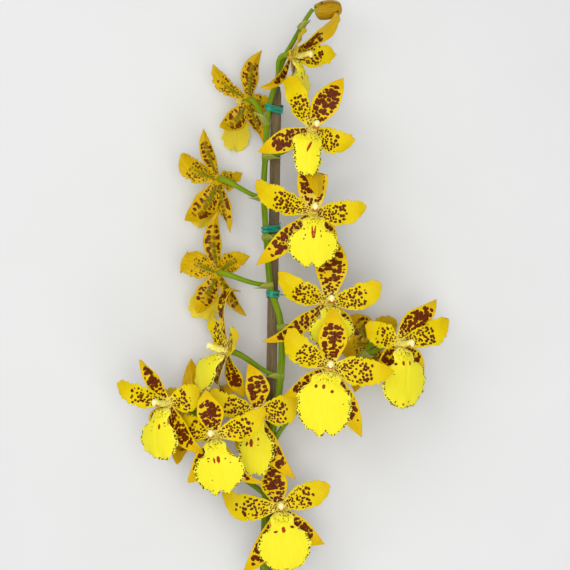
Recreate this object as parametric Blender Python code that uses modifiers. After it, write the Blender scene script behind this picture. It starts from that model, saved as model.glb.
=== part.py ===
"""A cut spray of a cambria orchid: sixteen blooms and a bud on one branched stem, tied to a wooden stake.

The spray lies on its back on the surface. +Y runs up the stem to the bud, +X is the right-hand side and
+Z points up, to someone who looks down on the blooms. Driving sizes are in millimetres; Blender's units are metres.
"""

import math
from dataclasses import dataclass, field

import bmesh
import bpy
import numpy as np
from mathutils import Matrix, Vector

MM = 0.001

# Driving dimensions, in millimetres
GAP = 0.3  # clearance where two pieces meet
TEPAL_THICKNESS = 0.8
LIP_THICKNESS = 0.9
DORSAL_WIDTH = 21.0
PETAL_WIDTH = 20.0
SEPAL_WIDTH = 17.0
LIP_WIDTH = 36.0
HUB_RADIUS = 4.2
HUB_HALF_HEIGHT = 2.4
COLUMN_LENGTH = 15.0
COLUMN_RADIUS = 2.7
PEDICEL_RADIUS = 1.75
OVARY_RADIUS = 2.0
BRANCH_RADIUS = 1.9
STAKE_WIDTH = 7.6
STAKE_TOP = (-4.2, 148.5, -7.4)
STAKE_FOOT = (-10.7, -243.0, -7.4)
TIE_HEIGHT = 4.6
TIE_THICKNESS = 1.0
BUD_LENGTH = 20.0
BUD_RADIUS = 6.9
BUD_SEAT = 1.4  # from the stem's tip to the bud's base, along the bud
BRACT_LENGTH = 12.0
BRACT_WIDTH = 5.4

# Half-width of each organ along its length, as (share of length, share of the full half-width)
SEPAL_OUTLINE = ((0, 0.26), (0.2, 0.6), (0.48, 1), (0.72, 0.78), (0.88, 0.42), (1, 0.05))
PETAL_OUTLINE = ((0, 0.24), (0.18, 0.52), (0.42, 0.9), (0.62, 1), (0.8, 0.84), (0.93, 0.48), (1, 0.12))
LIP_OUTLINE = (
    (0, 0.12), (0.1, 0.3), (0.2, 0.46), (0.3, 0.5), (0.43, 0.56), (0.57, 0.86), (0.72, 1), (0.86, 0.88), (0.94, 0.6),
    (1, 0.16),
)  # fmt: skip
BRACT_OUTLINE = ((0, 0.7), (0.35, 1), (0.75, 0.6), (1, 0.08))

SEPAL_ROWS, SEPAL_COLUMNS = 5, 2
PETAL_ROWS, PETAL_COLUMNS = 5, 4
LIP_ROWS, LIP_COLUMNS = 7, 4
FRAME_STEPS = 48  # small steps in which a blade's face is carried along its midrib

SEPAL_BOW = 0.10  # rise of the midrib's control point, as a share of the blade's length
PETAL_BOW = 0.08
SEPAL_CUP = 0.22  # how far the margins stand forward, as a share of the half-width
PETAL_CUP = 0.16
LIP_CUP = -0.16
BRACT_CUP = 0.7
TOOTH_DEPTH = 0.05  # unevenness of a petal's or lip's margin
LIP_ROOT = (-3.2, 2.35)  # up and forward of the hub's centre
LIP_SHOULDER = (-9.0, 15.0)  # control point of the lip's bend

YELLOW = (0.86, 0.62, 0.02)
OCHRE = (0.62, 0.45, 0.05)
LEMON = (0.95, 0.86, 0.05)
CREAM = (0.93, 0.86, 0.50)
GREEN = (0.25, 0.42, 0.05)
WOOD = (0.26, 0.19, 0.11)
TEAL = (0.0, 0.36, 0.30)


@dataclass
class Bloom:
    """One bloom. Tips are offsets from the centre. via holds a midrib's control point where it isn't the usual one,
    wide an organ's share of the usual width, and twist its turn in degrees from root to tip.
    """

    name: str
    centre: tuple
    facing: tuple
    dorsal: tuple
    petal_left: tuple
    petal_right: tuple
    sepal_left: tuple
    sepal_right: tuple
    lip: tuple
    node: tuple  # where its stalk leaves the stem or a branch
    lip_width: float = LIP_WIDTH
    wide: dict = field(default_factory=dict)
    via: dict = field(default_factory=dict)
    twist: dict = field(default_factory=dict)


BLOOMS = (
    # Front blooms down the right-hand side, from the top
    Bloom(
        "bloom_01", (6.2, 170, 8), (0.93, -0.06, 0.36),
        dorsal=(36, 29, 3), petal_left=(7, 12.5, 21), petal_right=(34, 1, -12),
        sepal_left=(-21.5, -26, 9), sepal_right=(0.5, -18, -18), lip=(9, -33, 2),
        node=(-2.5, 157, 1), wide={"sepal_left": 0.65},
        via={"dorsal": (27, 14, 5), "sepal_left": (-6, -22, 6)},
    ),
    Bloom(
        "bloom_02", (21.6, 114, 28), (0.2, 0.15, 0.97),
        dorsal=(22.5, 37, 2), petal_left=(-16, 38.5, 4), petal_right=(30.5, -8, 6),
        sepal_left=(-39.5, -15.5, -4), sepal_right=(7, -30, -14), lip=(-4, -34.5, 11),
        node=(-12, 97, 0), lip_width=21.0, wide={"petal_left": 0.85},
    ),
    Bloom(
        "bloom_03", (22, 54.5, 30), (0.1, 0.2, 0.97),
        dorsal=(3, 10, 12), petal_left=(-41, 21, 7), petal_right=(38, 4.5, 7),
        sepal_left=(-41, -37.5, -5), sepal_right=(14, -31, -6), lip=(-0.5, -39, 7),
        node=(-12, 38, 0), wide={"sepal_right": 0.85}, via={"dorsal": (-1, 54, -6)},
    ),
    Bloom(
        "bloom_04", (33.5, -9.7, 23), (0.12, 0.15, 0.98),
        dorsal=(-2, 50, -9), petal_left=(-36, 22, 7), petal_right=(37.5, 13, 7),
        sepal_left=(-47, -27, 8), sepal_right=(18, -30, -10), lip=(2, -33, 3),
        node=(-1.5, -28, 0), lip_width=33.0, wide={"sepal_left": 0.8},
        via={"dorsal": (8, 27, 3), "sepal_left": (-30, -16, -8)},
    ),
    Bloom(
        "bloom_05", (33.7, -55.3, 43), (0.02, 0.12, 0.99),
        dorsal=(2.5, 41, 4), petal_left=(-31, 25.5, 7), petal_right=(45.5, -2.5, 4),
        sepal_left=(-33, -21, -8), sepal_right=(23.5, -50.5, -6), lip=(-4.5, -48, 8),
        node=(23, -77, 5), lip_width=38.0,
    ),
    Bloom(
        "bloom_06", (83.5, -38.7, 20), (0.6, -0.05, 0.8),
        dorsal=(29, 31, -4), petal_left=(-24.5, 10.5, 10), petal_right=(38, 15.5, -8),
        sepal_left=(-15, -20, 2), sepal_right=(19, -26, -14), lip=(5, -47, 4),
        node=(60, -47, 6),
    ),
    # Behind bloom 5 and bloom 6, its back to the viewer
    Bloom(
        "bloom_07", (64, -39, -4), (-0.2, 0.0, -0.98),
        dorsal=(-14, 20, 3), petal_left=(-22, -3, 3), petal_right=(20, 16, -12),
        sepal_left=(-11, -37, -3), sepal_right=(14, -30, -10), lip=(3, -27, -31.5),
        node=(57, -49, 6),
    ),
    # The cluster at the lower left
    Bloom(
        "bloom_08", (-19, -89.5, 12), (0.1, 0.1, 1.0),
        dorsal=(-5.5, 36, 1), petal_left=(-33.5, 15.5, 1), petal_right=(30.5, 10, 4),
        sepal_left=(-14, -31, -12), sepal_right=(29, -48, 0), lip=(0, -46, 4),
        node=(-7.8, -108, 0), lip_width=26.0, wide={"dorsal": 0.88}, via={"sepal_right": (13, -24, -4)},
    ),
    Bloom(
        "bloom_09", (-47.7, -103.6, 39), (-0.15, 0.1, 0.98),
        dorsal=(-9.5, 31.5, 3), petal_left=(-24.5, 13, -12), petal_right=(36.5, 18, 6),
        sepal_left=(-20, -35, -6), sepal_right=(35, -35, -4), lip=(5, -41, 7),
        node=(-50, -112, 9),
    ),
    Bloom(
        "bloom_10", (-81.2, -81.2, 30), (-0.6, 0.0, 0.8),
        dorsal=(-22, 30.5, -3), petal_left=(-37.5, 13.5, -6), petal_right=(23, 8.5, 3),
        sepal_left=(-12, -26, -18), sepal_right=(24.5, -36, 12), lip=(-5.5, -40.5, 7),
        node=(-72, -86, 9), lip_width=34.0, wide={"dorsal": 0.78},
    ),
    # Side view, facing left
    Bloom(
        "bloom_11", (-39, -45, 8), (-0.92, 0.2, 0.32),
        dorsal=(9, 45, -3), petal_left=(-14.5, 27, -18), petal_right=(7.5, 11, 22),
        sepal_left=(5, -27, -12), sepal_right=(10.5, -34.5, -4), lip=(-21, -29, -2),
        node=(-1, -63.5, 0), wide={"dorsal": 0.62}, twist={"sepal_right": 60},
        via={"dorsal": (-12, 47, 2), "sepal_left": (-17, -34, -8)},
    ),
    # Behind bloom 9 and bloom 10, its back to the viewer
    Bloom(
        "bloom_12", (-64.4, -89, -6), (-0.1, 0.0, -1.0),
        dorsal=(-3, 37.5, -8), petal_left=(-28, 10, -10), petal_right=(26, 8, -10),
        sepal_left=(-13, -40, 0), sepal_right=(18, -30, -8), lip=(2, -27, -29.5),
        node=(-61, -92, 9),
    ),
    # Blooms down the left-hand side, turned away
    Bloom(
        "bloom_13", (-25.5, 139, -9), (-0.45, 0.0, -0.89),
        dorsal=(10, 37, -1), petal_left=(-25.5, 26, 3), petal_right=(18, -1.5, -12),
        sepal_left=(-21, -20.5, 4), sepal_right=(13.5, -29.5, -10), lip=(-8, -36, -27),
        node=(-11.5, 121, 0), lip_width=23.0, twist={"sepal_right": -95},
        wide={"dorsal": 0.64, "petal_left": 0.7, "petal_right": 0.8, "sepal_right": 0.6},
    ),
    Bloom(
        "bloom_14", (-47, 80, -4), (-0.5, -0.05, -0.86),
        dorsal=(-11.5, 37.5, -2), petal_left=(-27, 18.5, 5), petal_right=(17, 6, -18),
        sepal_left=(-25, -30, 6), sepal_right=(11, -38, -6), lip=(-13, -35, -20),
        node=(-13.2, 66.5, 0), lip_width=24.0, twist={"sepal_right": -95},
        wide={"dorsal": 0.56, "petal_right": 0.85, "sepal_right": 0.65},
    ),
    Bloom(
        "bloom_15", (-47, 11.5, -4), (-0.35, -0.1, -0.93),
        dorsal=(-1, 45, 2), petal_left=(-27, 8.5, 2), petal_right=(23, 12.5, -11),
        sepal_left=(-16, -29.5, 4), sepal_right=(20, -32, -8), lip=(-15, -34, -19),
        node=(-9, 3, 0), lip_width=24.0, wide={"dorsal": 0.7, "sepal_right": 0.55},
    ),
    # The lowest bloom
    Bloom(
        "bloom_16", (-1, -157.5, 15), (0.03, 0.1, 0.99),
        dorsal=(-3, 38, -12), petal_left=(-42.5, 9, 4), petal_right=(35.5, 16, 6),
        sepal_left=(-28.5, -51, -5), sepal_right=(32.5, -28.5, -7), lip=(4.5, -46, 7),
        node=(-12.4, -178, 0), lip_width=38.0, via={"dorsal": (-1.5, 19, -5)},
    ),
)  # fmt: skip

# The main stem from its tip to its cut end: x, y, z and radius
MAIN_STEM = (
    (22.3, 203.5, 6, 1.5), (18, 197.5, 5, 1.6), (13, 189, 4, 1.7), (7.9, 180, 3, 1.8), (3.6, 172.5, 2, 1.9),
    (-0.8, 163, 1, 2.0), (-3, 154, 1, 2.0), (-8, 139.5, 0, 2.0), (-10.4, 126, 0, 2.1), (-12.1, 98, 0, 2.1),
    (-13.2, 80, 0, 2.2), (-13.2, 66, 0, 2.2), (-12.1, 46, 0, 2.2), (-11, 32, 0, 2.3), (-9.6, 11, 0, 2.3),
    (-8.2, -1, 0, 2.4), (-4.4, -12, 0, 2.5), (-1.5, -23, 0, 2.5), (0, -44.5, 0, 2.6), (-2.2, -74, 0, 2.7),
    (-7, -103, 0, 2.8), (-10, -128, 0, 2.9), (-11.7, -154, 0, 3.0), (-13.2, -205, 0, 3.0), (-14, -238, 0, 3.0),
)  # fmt: skip

# Side branches, from the main stem outwards
RIGHT_BRANCH = ((-9.4, -121, 0), (-2.2, -105, 1), (11, -88.5, 3), (23, -77, 5), (35, -66, 6), (57, -49, 6), (62, -46, 6))
LEFT_BRANCH = (
    (-11.6, -151, 0), (-19, -145, 1), (-27, -139, 3), (-38, -129, 6), (-47, -117, 9), (-55, -103, 9),
    (-61, -92, 9), (-73, -85, 10),
)  # fmt: skip

# Places down the stem where a tie binds it to the stake
TIE_PLACES = (131.5, 43.8, -3.7)


def clear_scene():
    for old in list(bpy.data.objects):
        bpy.data.objects.remove(old, do_unlink=True)


def collection(name):
    made = bpy.data.collections.new(name)
    bpy.context.scene.collection.children.link(made)
    return made


def material(name, colour, roughness):
    made = bpy.data.materials.new(name)
    made.use_nodes = True
    shader = made.node_tree.nodes["Principled BSDF"]
    shader.inputs["Base Color"].default_value = (*colour, 1)
    shader.inputs["Roughness"].default_value = roughness
    shader.inputs["Metallic"].default_value = 0.0
    return made


def unit(vector):
    return vector / np.linalg.norm(vector)


def along_outline(outline, share):
    """The half-width at a share of the length, on a smooth curve through the outline's points."""
    at, width = np.array(outline, float).T
    slope = np.gradient(width, at)
    i = min(np.searchsorted(at, share, side="right") - 1, len(at) - 2)
    step = at[i + 1] - at[i]
    s = (share - at[i]) / step
    return (
        (2 * s**3 - 3 * s**2 + 1) * width[i]
        + (s**3 - 2 * s**2 + s) * step * slope[i]
        + (3 * s**2 - 2 * s**3) * width[i + 1]
        + (s**3 - s**2) * step * slope[i + 1]
    )


def midrib(root, via, tip, face):
    """Centre, direction and face at each of FRAME_STEPS even steps along a midrib. The face follows without twisting."""
    frames = []
    for step in range(FRAME_STEPS + 1):
        t = step / FRAME_STEPS
        centre = (1 - t) ** 2 * root + 2 * t * (1 - t) * via + t**2 * tip
        along = unit(2 * (1 - t) * (via - root) + 2 * t * (tip - via))
        face = unit(face - along * np.dot(face, along))
        frames.append((centre, along, face))
    return frames


def blade_surface(root, via, tip, face, outline, width, cup, rows, columns, twist=0.0, keel=1.0, teeth=0.0):
    """Rows of points on an open blade. Its margins stand forward by cup, and keel 1 folds it along the midrib."""
    frames = midrib(root, via, tip, face)
    surface = []
    for row in range(rows + 1):
        share = row / rows
        centre, along, face = frames[round(share * FRAME_STEPS)]
        side = np.cross(along, face)
        turn = math.radians(twist) * share
        side, face = (
            side * math.cos(turn) + face * math.sin(turn),
            face * math.cos(turn) - side * math.sin(turn),
        )
        half = width / 2 * along_outline(outline, share)
        half *= 1 + teeth * (-1) ** row * min(1.0, 3 * share)
        across = np.linspace(-1, 1, columns + 1)
        surface.append([centre + side * half * u + face * half * cup * abs(u) ** (2 - keel) for u in across])
    return surface


def object_of(name, mesh, group, finish=None):
    made = bpy.data.objects.new(name, mesh)
    group.objects.link(made)
    if finish:
        mesh.materials.clear()
        mesh.materials.append(finish)
    return made


def blade(name, surface, thickness, group, finish=None):
    """A closed blade: the open surface, split into triangles, and made thick on both sides."""
    rows, columns = len(surface), len(surface[0])
    mesh = bpy.data.meshes.new(name)
    points = [Vector(p) * MM for row in surface for p in row]
    quads = [
        (r * columns + c, r * columns + c + 1, (r + 1) * columns + c + 1, (r + 1) * columns + c)
        for r in range(rows - 1)
        for c in range(columns - 1)
    ]
    mesh.from_pydata(points, [], quads)
    shape = bmesh.new()
    shape.from_mesh(mesh)
    bmesh.ops.triangulate(shape, faces=shape.faces)
    shape.to_mesh(mesh)
    shape.free()
    made = object_of(name, mesh, group, finish)
    solid = made.modifiers.new("thickness", "SOLIDIFY")
    solid.thickness = thickness * MM
    solid.offset = 0
    return made


def evaluated_mesh(source):
    graph = bpy.context.evaluated_depsgraph_get()
    return bpy.data.meshes.new_from_object(source.evaluated_get(graph))


def fuse(name, core, others, group, finish):
    """One solid of the core and everything in the collection others, which is then emptied."""
    join = core.modifiers.new("fuse", "BOOLEAN")
    join.operand_type = "COLLECTION"
    join.collection = others
    join.operation = "UNION"
    join.solver = "MANIFOLD"
    mesh = evaluated_mesh(core)
    for used in [core, *others.objects]:
        bpy.data.objects.remove(used, do_unlink=True)
    mesh.name = name
    made = object_of(name, mesh, group, finish)
    mesh.shade_smooth()
    mesh.set_sharp_from_angle(angle=math.radians(40))
    return made


def tube(name, path, radii, group, bevel_resolution=1):
    """A closed round rod along a path, as a mesh, with a radius at each point."""
    curve = bpy.data.curves.new(name, "CURVE")
    curve.dimensions = "3D"
    curve.bevel_depth = MM
    curve.bevel_resolution = bevel_resolution
    curve.use_fill_caps = True
    line = curve.splines.new("POLY")
    line.points.add(len(path) - 1)
    for point, place, radius in zip(line.points, path, radii):
        point.co = (*(c * MM for c in place), 1)
        point.radius = radius
    rod = object_of(name, curve, group)
    mesh = evaluated_mesh(rod)
    bpy.data.objects.remove(rod, do_unlink=True)
    shape = bmesh.new()
    shape.from_mesh(mesh)
    bmesh.ops.remove_doubles(shape, verts=shape.verts, dist=1e-6)
    bmesh.ops.recalc_face_normals(shape, faces=shape.faces)
    shape.to_mesh(mesh)
    shape.free()
    return object_of(name, mesh, group)


def bloom_axes(bloom):
    """Centre, and the directions right, up and forward of a bloom, from its facing and from where its lip hangs."""
    centre = np.array(bloom.centre, float)
    forward = unit(np.array(bloom.facing, float))
    lip = np.array(bloom.lip, float)
    up = unit(forward * np.dot(lip, forward) - lip)
    return centre, np.cross(up, forward), up, forward


def tepal_surface(bloom, organ, width, outline, bow, cup, rows, columns, lift, keel, teeth=0.0):
    centre, _, _, forward = bloom_axes(bloom)
    tip = np.array(getattr(bloom, organ), float)
    via = np.array(bloom.via[organ], float) if organ in bloom.via else tip / 2 + forward * bow * np.linalg.norm(tip)
    outward = unit(via - forward * np.dot(via, forward))
    root = centre + outward * 1.2 + forward * lift
    return blade_surface(
        root, centre + via, centre + tip, forward, outline, width, cup, rows, columns,
        twist=bloom.twist.get(organ, 0.0), keel=keel, teeth=teeth,
    )  # fmt: skip


def add_tepals(bloom, group, scratch, finish):
    """The three sepals and two petals of a bloom, sunk into the hub that carries them."""
    centre, right, up, forward = bloom_axes(bloom)
    shape = bmesh.new()
    bmesh.ops.create_uvsphere(shape, u_segments=8, v_segments=4, radius=MM)
    axes = Matrix((right * HUB_RADIUS, up * HUB_RADIUS, forward * HUB_HALF_HEIGHT)).transposed()
    bmesh.ops.transform(shape, matrix=axes.to_4x4(), verts=shape.verts)
    bmesh.ops.translate(shape, vec=Vector(centre) * MM, verts=shape.verts)
    mesh = bpy.data.meshes.new("hub")
    shape.to_mesh(mesh)
    shape.free()
    hub = object_of("hub", mesh, group)
    for organ, width in (("dorsal", DORSAL_WIDTH), ("sepal_left", SEPAL_WIDTH), ("sepal_right", SEPAL_WIDTH)):
        width *= bloom.wide.get(organ, 1.0)
        surface = tepal_surface(
            bloom, organ, width, SEPAL_OUTLINE, SEPAL_BOW, SEPAL_CUP, SEPAL_ROWS, SEPAL_COLUMNS, -0.5, keel=0.9
        )
        blade(organ, surface, TEPAL_THICKNESS, scratch)
    for organ in ("petal_left", "petal_right"):
        width = PETAL_WIDTH * bloom.wide.get(organ, 1.0)
        surface = tepal_surface(
            bloom, organ, width, PETAL_OUTLINE, PETAL_BOW, PETAL_CUP, PETAL_ROWS, PETAL_COLUMNS, 0.6,
            keel=0.2, teeth=TOOTH_DEPTH,
        )  # fmt: skip
        blade(organ, surface, TEPAL_THICKNESS, scratch)
    return fuse(bloom.name + "_tepals", hub, scratch, group, finish)


def add_lip(bloom, group, finish):
    """The broad lip, which leaves the hub under the column, comes forward and then hangs."""
    centre, _, up, forward = bloom_axes(bloom)
    root = centre + up * LIP_ROOT[0] + forward * LIP_ROOT[1]
    via = centre + up * LIP_SHOULDER[0] + forward * LIP_SHOULDER[1]
    surface = blade_surface(
        root, via, centre + np.array(bloom.lip, float), forward, LIP_OUTLINE, bloom.lip_width, LIP_CUP,
        LIP_ROWS, LIP_COLUMNS, keel=0.0, teeth=TOOTH_DEPTH / 2,
    )  # fmt: skip
    return blade(bloom.name + "_lip", surface, LIP_THICKNESS, group, finish)


def add_column(bloom, group, finish):
    """The club-shaped column that stands out of the bloom's middle, with the anther cap at its end."""
    centre, _, up, forward = bloom_axes(bloom)
    start = centre + forward * (HUB_HALF_HEIGHT + GAP)
    end = centre + forward * (HUB_HALF_HEIGHT + COLUMN_LENGTH) + up * 1.5
    shares = (0, 0.15, 0.6, 0.85, 1)
    radii = [COLUMN_RADIUS * share for share in (0.5, 0.66, 0.8, 1, 0.55)]
    made = tube(bloom.name + "_column", [start + (end - start) * s for s in shares], radii, group)
    made.data.materials.append(finish)
    made.data.shade_smooth()
    return made


def curve_points(ends, count):
    """Points on the cubic curve that the four ends give."""
    a, b, c, d = (np.array(p, float) for p in ends)
    return [
        (1 - t) ** 3 * a + 3 * t * (1 - t) ** 2 * b + 3 * t**2 * (1 - t) * c + t**3 * d
        for t in np.linspace(0, 1, count)
    ]


def stalk_ends(bloom):
    """Node, first direction, last bend and seat of a bloom's stalk, and how far it reaches."""
    centre, _, _, forward = bloom_axes(bloom)
    node = np.array(bloom.node, float)
    seat = centre - forward * (HUB_HALF_HEIGHT + GAP)
    reach = np.linalg.norm(seat - node)
    before = seat - forward * min(13.0, 0.5 * reach)
    outward = unit(before - node + np.array((0, -0.35 * reach, 0)))
    return node, outward, before, seat, reach


def add_pedicel(bloom, group):
    """The stalk of a bloom, from its node to the back of the hub, with the ovary as its thicker end."""
    node, outward, before, seat, reach = stalk_ends(bloom)
    path = curve_points((node, node + outward * 0.35 * reach, before, seat), 6)
    tube("stalk", path, np.linspace(PEDICEL_RADIUS, OVARY_RADIUS, len(path)), group)


def add_bract(bloom, group):
    """The boat-shaped bract under a stalk, which clasps the stem."""
    node, outward, _, _, _ = stalk_ends(bloom)
    face = unit(np.array((0, 1.0, 0.2)) - outward * np.dot((0, 1.0, 0.2), outward))
    root = node - outward * 1.0 - face * 1.6
    tip = node + outward * BRACT_LENGTH - face * 1.8
    surface = blade_surface(
        root, (root + tip) / 2 - face * 1.6, tip, face, BRACT_OUTLINE, BRACT_WIDTH, BRACT_CUP, 4, 2, keel=0.6
    )
    blade("bract", surface, TEPAL_THICKNESS, group)


def add_stem(group, scratch, finish):
    """The whole green stem in one piece: main stem, side branches, stalks and bracts."""
    places = np.array(MAIN_STEM, float)
    core = tube("main", places[:, :3], places[:, 3], group, bevel_resolution=2)
    for route in (RIGHT_BRANCH, LEFT_BRANCH):
        tube("branch", np.array(route, float), np.linspace(BRANCH_RADIUS, PEDICEL_RADIUS, len(route)), scratch)
    for bloom in BLOOMS:
        add_pedicel(bloom, scratch)
        if abs(bloom.node[2]) < 1:
            add_bract(bloom, scratch)
    return fuse("stem", core, scratch, group, finish)


def stem_at(y):
    """Centre and radius of the main stem at a height."""
    places = np.array(MAIN_STEM, float)[::-1]
    return [float(np.interp(y, places[:, 1], places[:, i])) for i in (0, 2, 3)]


def stake_at(y):
    top, foot = np.array(STAKE_TOP), np.array(STAKE_FOOT)
    return top + (foot - top) * (y - top[1]) / (foot[1] - top[1])


def add_stake(group, finish):
    """The square wooden stake behind the stem, with its edges worn round."""
    top, foot = Vector(STAKE_TOP), Vector(STAKE_FOOT)
    bpy.ops.mesh.primitive_cube_add(size=1)
    made = bpy.context.object
    made.name = made.data.name = "stake"
    for old in made.users_collection:
        old.objects.unlink(made)
    group.objects.link(made)
    made.data.transform(Matrix.Diagonal((STAKE_WIDTH * MM, (top - foot).length * MM, STAKE_WIDTH * MM, 1)))
    made.location = (top + foot) / 2 * MM
    made.rotation_euler = (0, 0, -math.atan2(top.x - foot.x, top.y - foot.y))
    made.data.materials.append(finish)
    edge = made.modifiers.new("worn edges", "BEVEL")
    edge.width = 1.1 * MM
    edge.segments = 2
    return made


def hull_of(points):
    """The convex outline round a set of flat points, anticlockwise."""
    points = sorted(map(tuple, points))
    chains = []
    for ordered in (points, points[::-1]):
        chain = []
        for p in ordered:
            while len(chain) > 1 and (
                (chain[-1][0] - chain[-2][0]) * (p[1] - chain[-2][1])
                <= (chain[-1][1] - chain[-2][1]) * (p[0] - chain[-2][0])
            ):
                chain.pop()
            chain.append(p)
        chains += chain[:-1]
    return chains


def belt_outline(y, margin):
    """The outline, in x and z, of a belt round the stem and the stake, at a margin from them over the belt's height."""
    corner = STAKE_WIDTH / 2 - 1.1
    points = []
    for height in (y - TIE_HEIGHT / 2, y, y + TIE_HEIGHT / 2):
        stem_x, stem_z, radius = stem_at(height)
        stake = stake_at(height)
        for turn in np.linspace(0, 2 * math.pi, 12, endpoint=False):
            way = np.array((math.cos(turn), math.sin(turn)))
            points.append((stem_x, stem_z) + way * (radius + margin))
            for side_x in (-corner, corner):
                for side_z in (-corner, corner):
                    points.append((stake[0] + side_x, stake[2] + side_z) + way * (1.1 + margin))
    return hull_of(points)


def add_tie(name, y, group, finish):
    """A band wound round the stem and the stake."""
    curve = bpy.data.curves.new(name, "CURVE")
    curve.dimensions = "2D"
    curve.fill_mode = "BOTH"
    curve.extrude = TIE_HEIGHT / 2 * MM
    for margin in (GAP, GAP + TIE_THICKNESS):
        outline = belt_outline(y, margin)
        ring = curve.splines.new("POLY")
        ring.points.add(len(outline) - 1)
        ring.use_cyclic_u = True
        for point, (x, z) in zip(ring.points, outline):
            point.co = (x * MM, z * MM, 0, 1)
    made = object_of(name, curve, group)
    curve.materials.append(finish)
    made.location = (0, y * MM, 0)
    made.rotation_euler = (math.pi / 2, 0, 0)
    return made


def add_bud(group, finish):
    """The unopened bud at the stem's tip, its three sepals meeting in shallow furrows."""
    tip = np.array(MAIN_STEM[0][:3], float)
    before = np.array(MAIN_STEM[1][:3], float)
    axis = unit(unit(tip - before) + np.array((1.0, -0.55, 0.1)))
    side = unit(np.cross(axis, (0, 0, 1.0)))
    top = np.cross(axis, side)
    shape = bmesh.new()
    bmesh.ops.create_uvsphere(shape, u_segments=12, v_segments=8, radius=1)
    for vertex in shape.verts:
        x, y, z = vertex.co
        angle = math.atan2(y, x)
        share = (z + 1) / 2
        swell = BUD_RADIUS * (1 - 0.3 * share**3) * (1 - 0.07 * (1 + math.cos(3 * angle)) / 2)
        place = side * x * swell + top * y * swell + axis * (share * BUD_LENGTH)
        vertex.co = Vector(tip + axis * BUD_SEAT + place) * MM
    mesh = bpy.data.meshes.new("bud")
    shape.to_mesh(mesh)
    shape.free()
    mesh.shade_smooth()
    return object_of("bud", mesh, group, finish)


def rest_on_surface(group):
    """Moves every piece alike, so that the lowest point is at z 0 and the middle of the object's box is at x 0, y 0."""
    bpy.context.view_layer.update()
    graph = bpy.context.evaluated_depsgraph_get()
    points = []
    for piece in group.objects:
        evaluated = piece.evaluated_get(graph)
        points += [evaluated.matrix_world @ v.co for v in evaluated.to_mesh().vertices]
        evaluated.to_mesh_clear()
    points = np.array(points)
    low, high = points.min(axis=0), points.max(axis=0)
    move = Vector((-(low[0] + high[0]) / 2, -(low[1] + high[1]) / 2, -low[2]))
    for piece in group.objects:
        piece.location += move


def main():
    clear_scene()
    group = collection("cambria_orchid")
    scratch = collection("joining")
    tepal_finish = material("tepals", YELLOW, 0.45)
    lip_finish = material("lip", LEMON, 0.5)
    column_finish = material("column", CREAM, 0.4)
    stem_finish = material("stem", GREEN, 0.4)
    for bloom in BLOOMS:
        add_tepals(bloom, group, scratch, tepal_finish)
        add_lip(bloom, group, lip_finish)
        add_column(bloom, group, column_finish)
    add_stem(group, scratch, stem_finish)
    add_bud(group, material("bud", OCHRE, 0.45))
    add_stake(group, material("wood", WOOD, 0.8))
    tie_finish = material("tie", TEAL, 0.35)
    for number, y in enumerate(TIE_PLACES, start=1):
        add_tie(f"tie_{number}", y, group, tie_finish)
    rest_on_surface(group)


main()
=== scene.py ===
"""The look of a cut cambria orchid spray: blooms, bud, stem, stake and ties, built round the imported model.

Sizes are in millimetres, in the part's own places: +Y runs up the stem and +Z out of the blooms' faces.
Skin.build moves each piece to the row's frame, and to metres, in one step.
"""

import math
from dataclasses import dataclass, field

import bpy
import numpy as np
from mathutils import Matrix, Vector


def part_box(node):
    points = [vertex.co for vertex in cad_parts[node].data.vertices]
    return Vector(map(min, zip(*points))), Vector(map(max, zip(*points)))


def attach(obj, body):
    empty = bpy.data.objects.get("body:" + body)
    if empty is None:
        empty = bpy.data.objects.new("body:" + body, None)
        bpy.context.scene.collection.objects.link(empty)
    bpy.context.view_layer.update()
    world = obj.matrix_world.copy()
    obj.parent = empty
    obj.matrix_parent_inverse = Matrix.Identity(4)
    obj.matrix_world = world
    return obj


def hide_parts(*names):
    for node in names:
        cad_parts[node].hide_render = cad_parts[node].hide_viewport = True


MM = 0.001

# Sizes shared with the CAD part, in millimetres
DORSAL_WIDTH = 21.0
PETAL_WIDTH = 20.0
SEPAL_WIDTH = 17.0
LIP_WIDTH = 36.0
HUB_RADIUS = 4.2
HUB_HALF_HEIGHT = 2.4
GAP = 0.3
COLUMN_LENGTH = 15.0
COLUMN_RADIUS = 2.7
PEDICEL_RADIUS = 1.75
OVARY_RADIUS = 2.0
BRANCH_RADIUS = 1.9
STAKE_WIDTH = 7.6
STAKE_TOP = (-4.2, 148.5, -7.4)
STAKE_FOOT = (-10.7, -243.0, -7.4)
BUD_LENGTH = 20.0
BUD_RADIUS = 6.9
BUD_SEAT = 1.4
BRACT_LENGTH = 12.0
LIP_ROOT = (-3.2, 2.35)
LIP_SHOULDER = (-9.0, 15.0)

# Sizes of the scene alone
TIP_BRACT_LENGTH = 8.5
BUD_DROOP = 2.6
# As in distance_to_marks, but across is an angle round the bud
BUD_MARKS = (
    (4.2, 1.8, 1.1, 1.0, 0), (3.75, 6.5, 1.5, 0.8, 0.2), (5.35, 16.8, 1.9, 0.9, -0.5),
    (1.1, 15, 1.3, 0.9, 0.4),
)  # fmt: skip
STAKE_CORNER = 1.1
WOUND_STRAND = (1.9, 0.85)
TAIL_STRAND = (1.5, 0.8)
CAMERA_PLACE = (2.16, 2.88, 1300.0)
CAMERA_LENS = 112.3
# How far each light is from the spray's middle and how wide it is, in metres, and its energy
LIGHTS = {
    "key": ((-0.5, 0.45, 1.1), 0.7, 4.9),
    "fill": ((0.4, -0.8, 1.0), 0.9, 3.6),
    "front": ((0.05, -0.1, 1.6), 0.8, 9.6),
}
ANY_SEED = 400
FAR = 9.0

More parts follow.
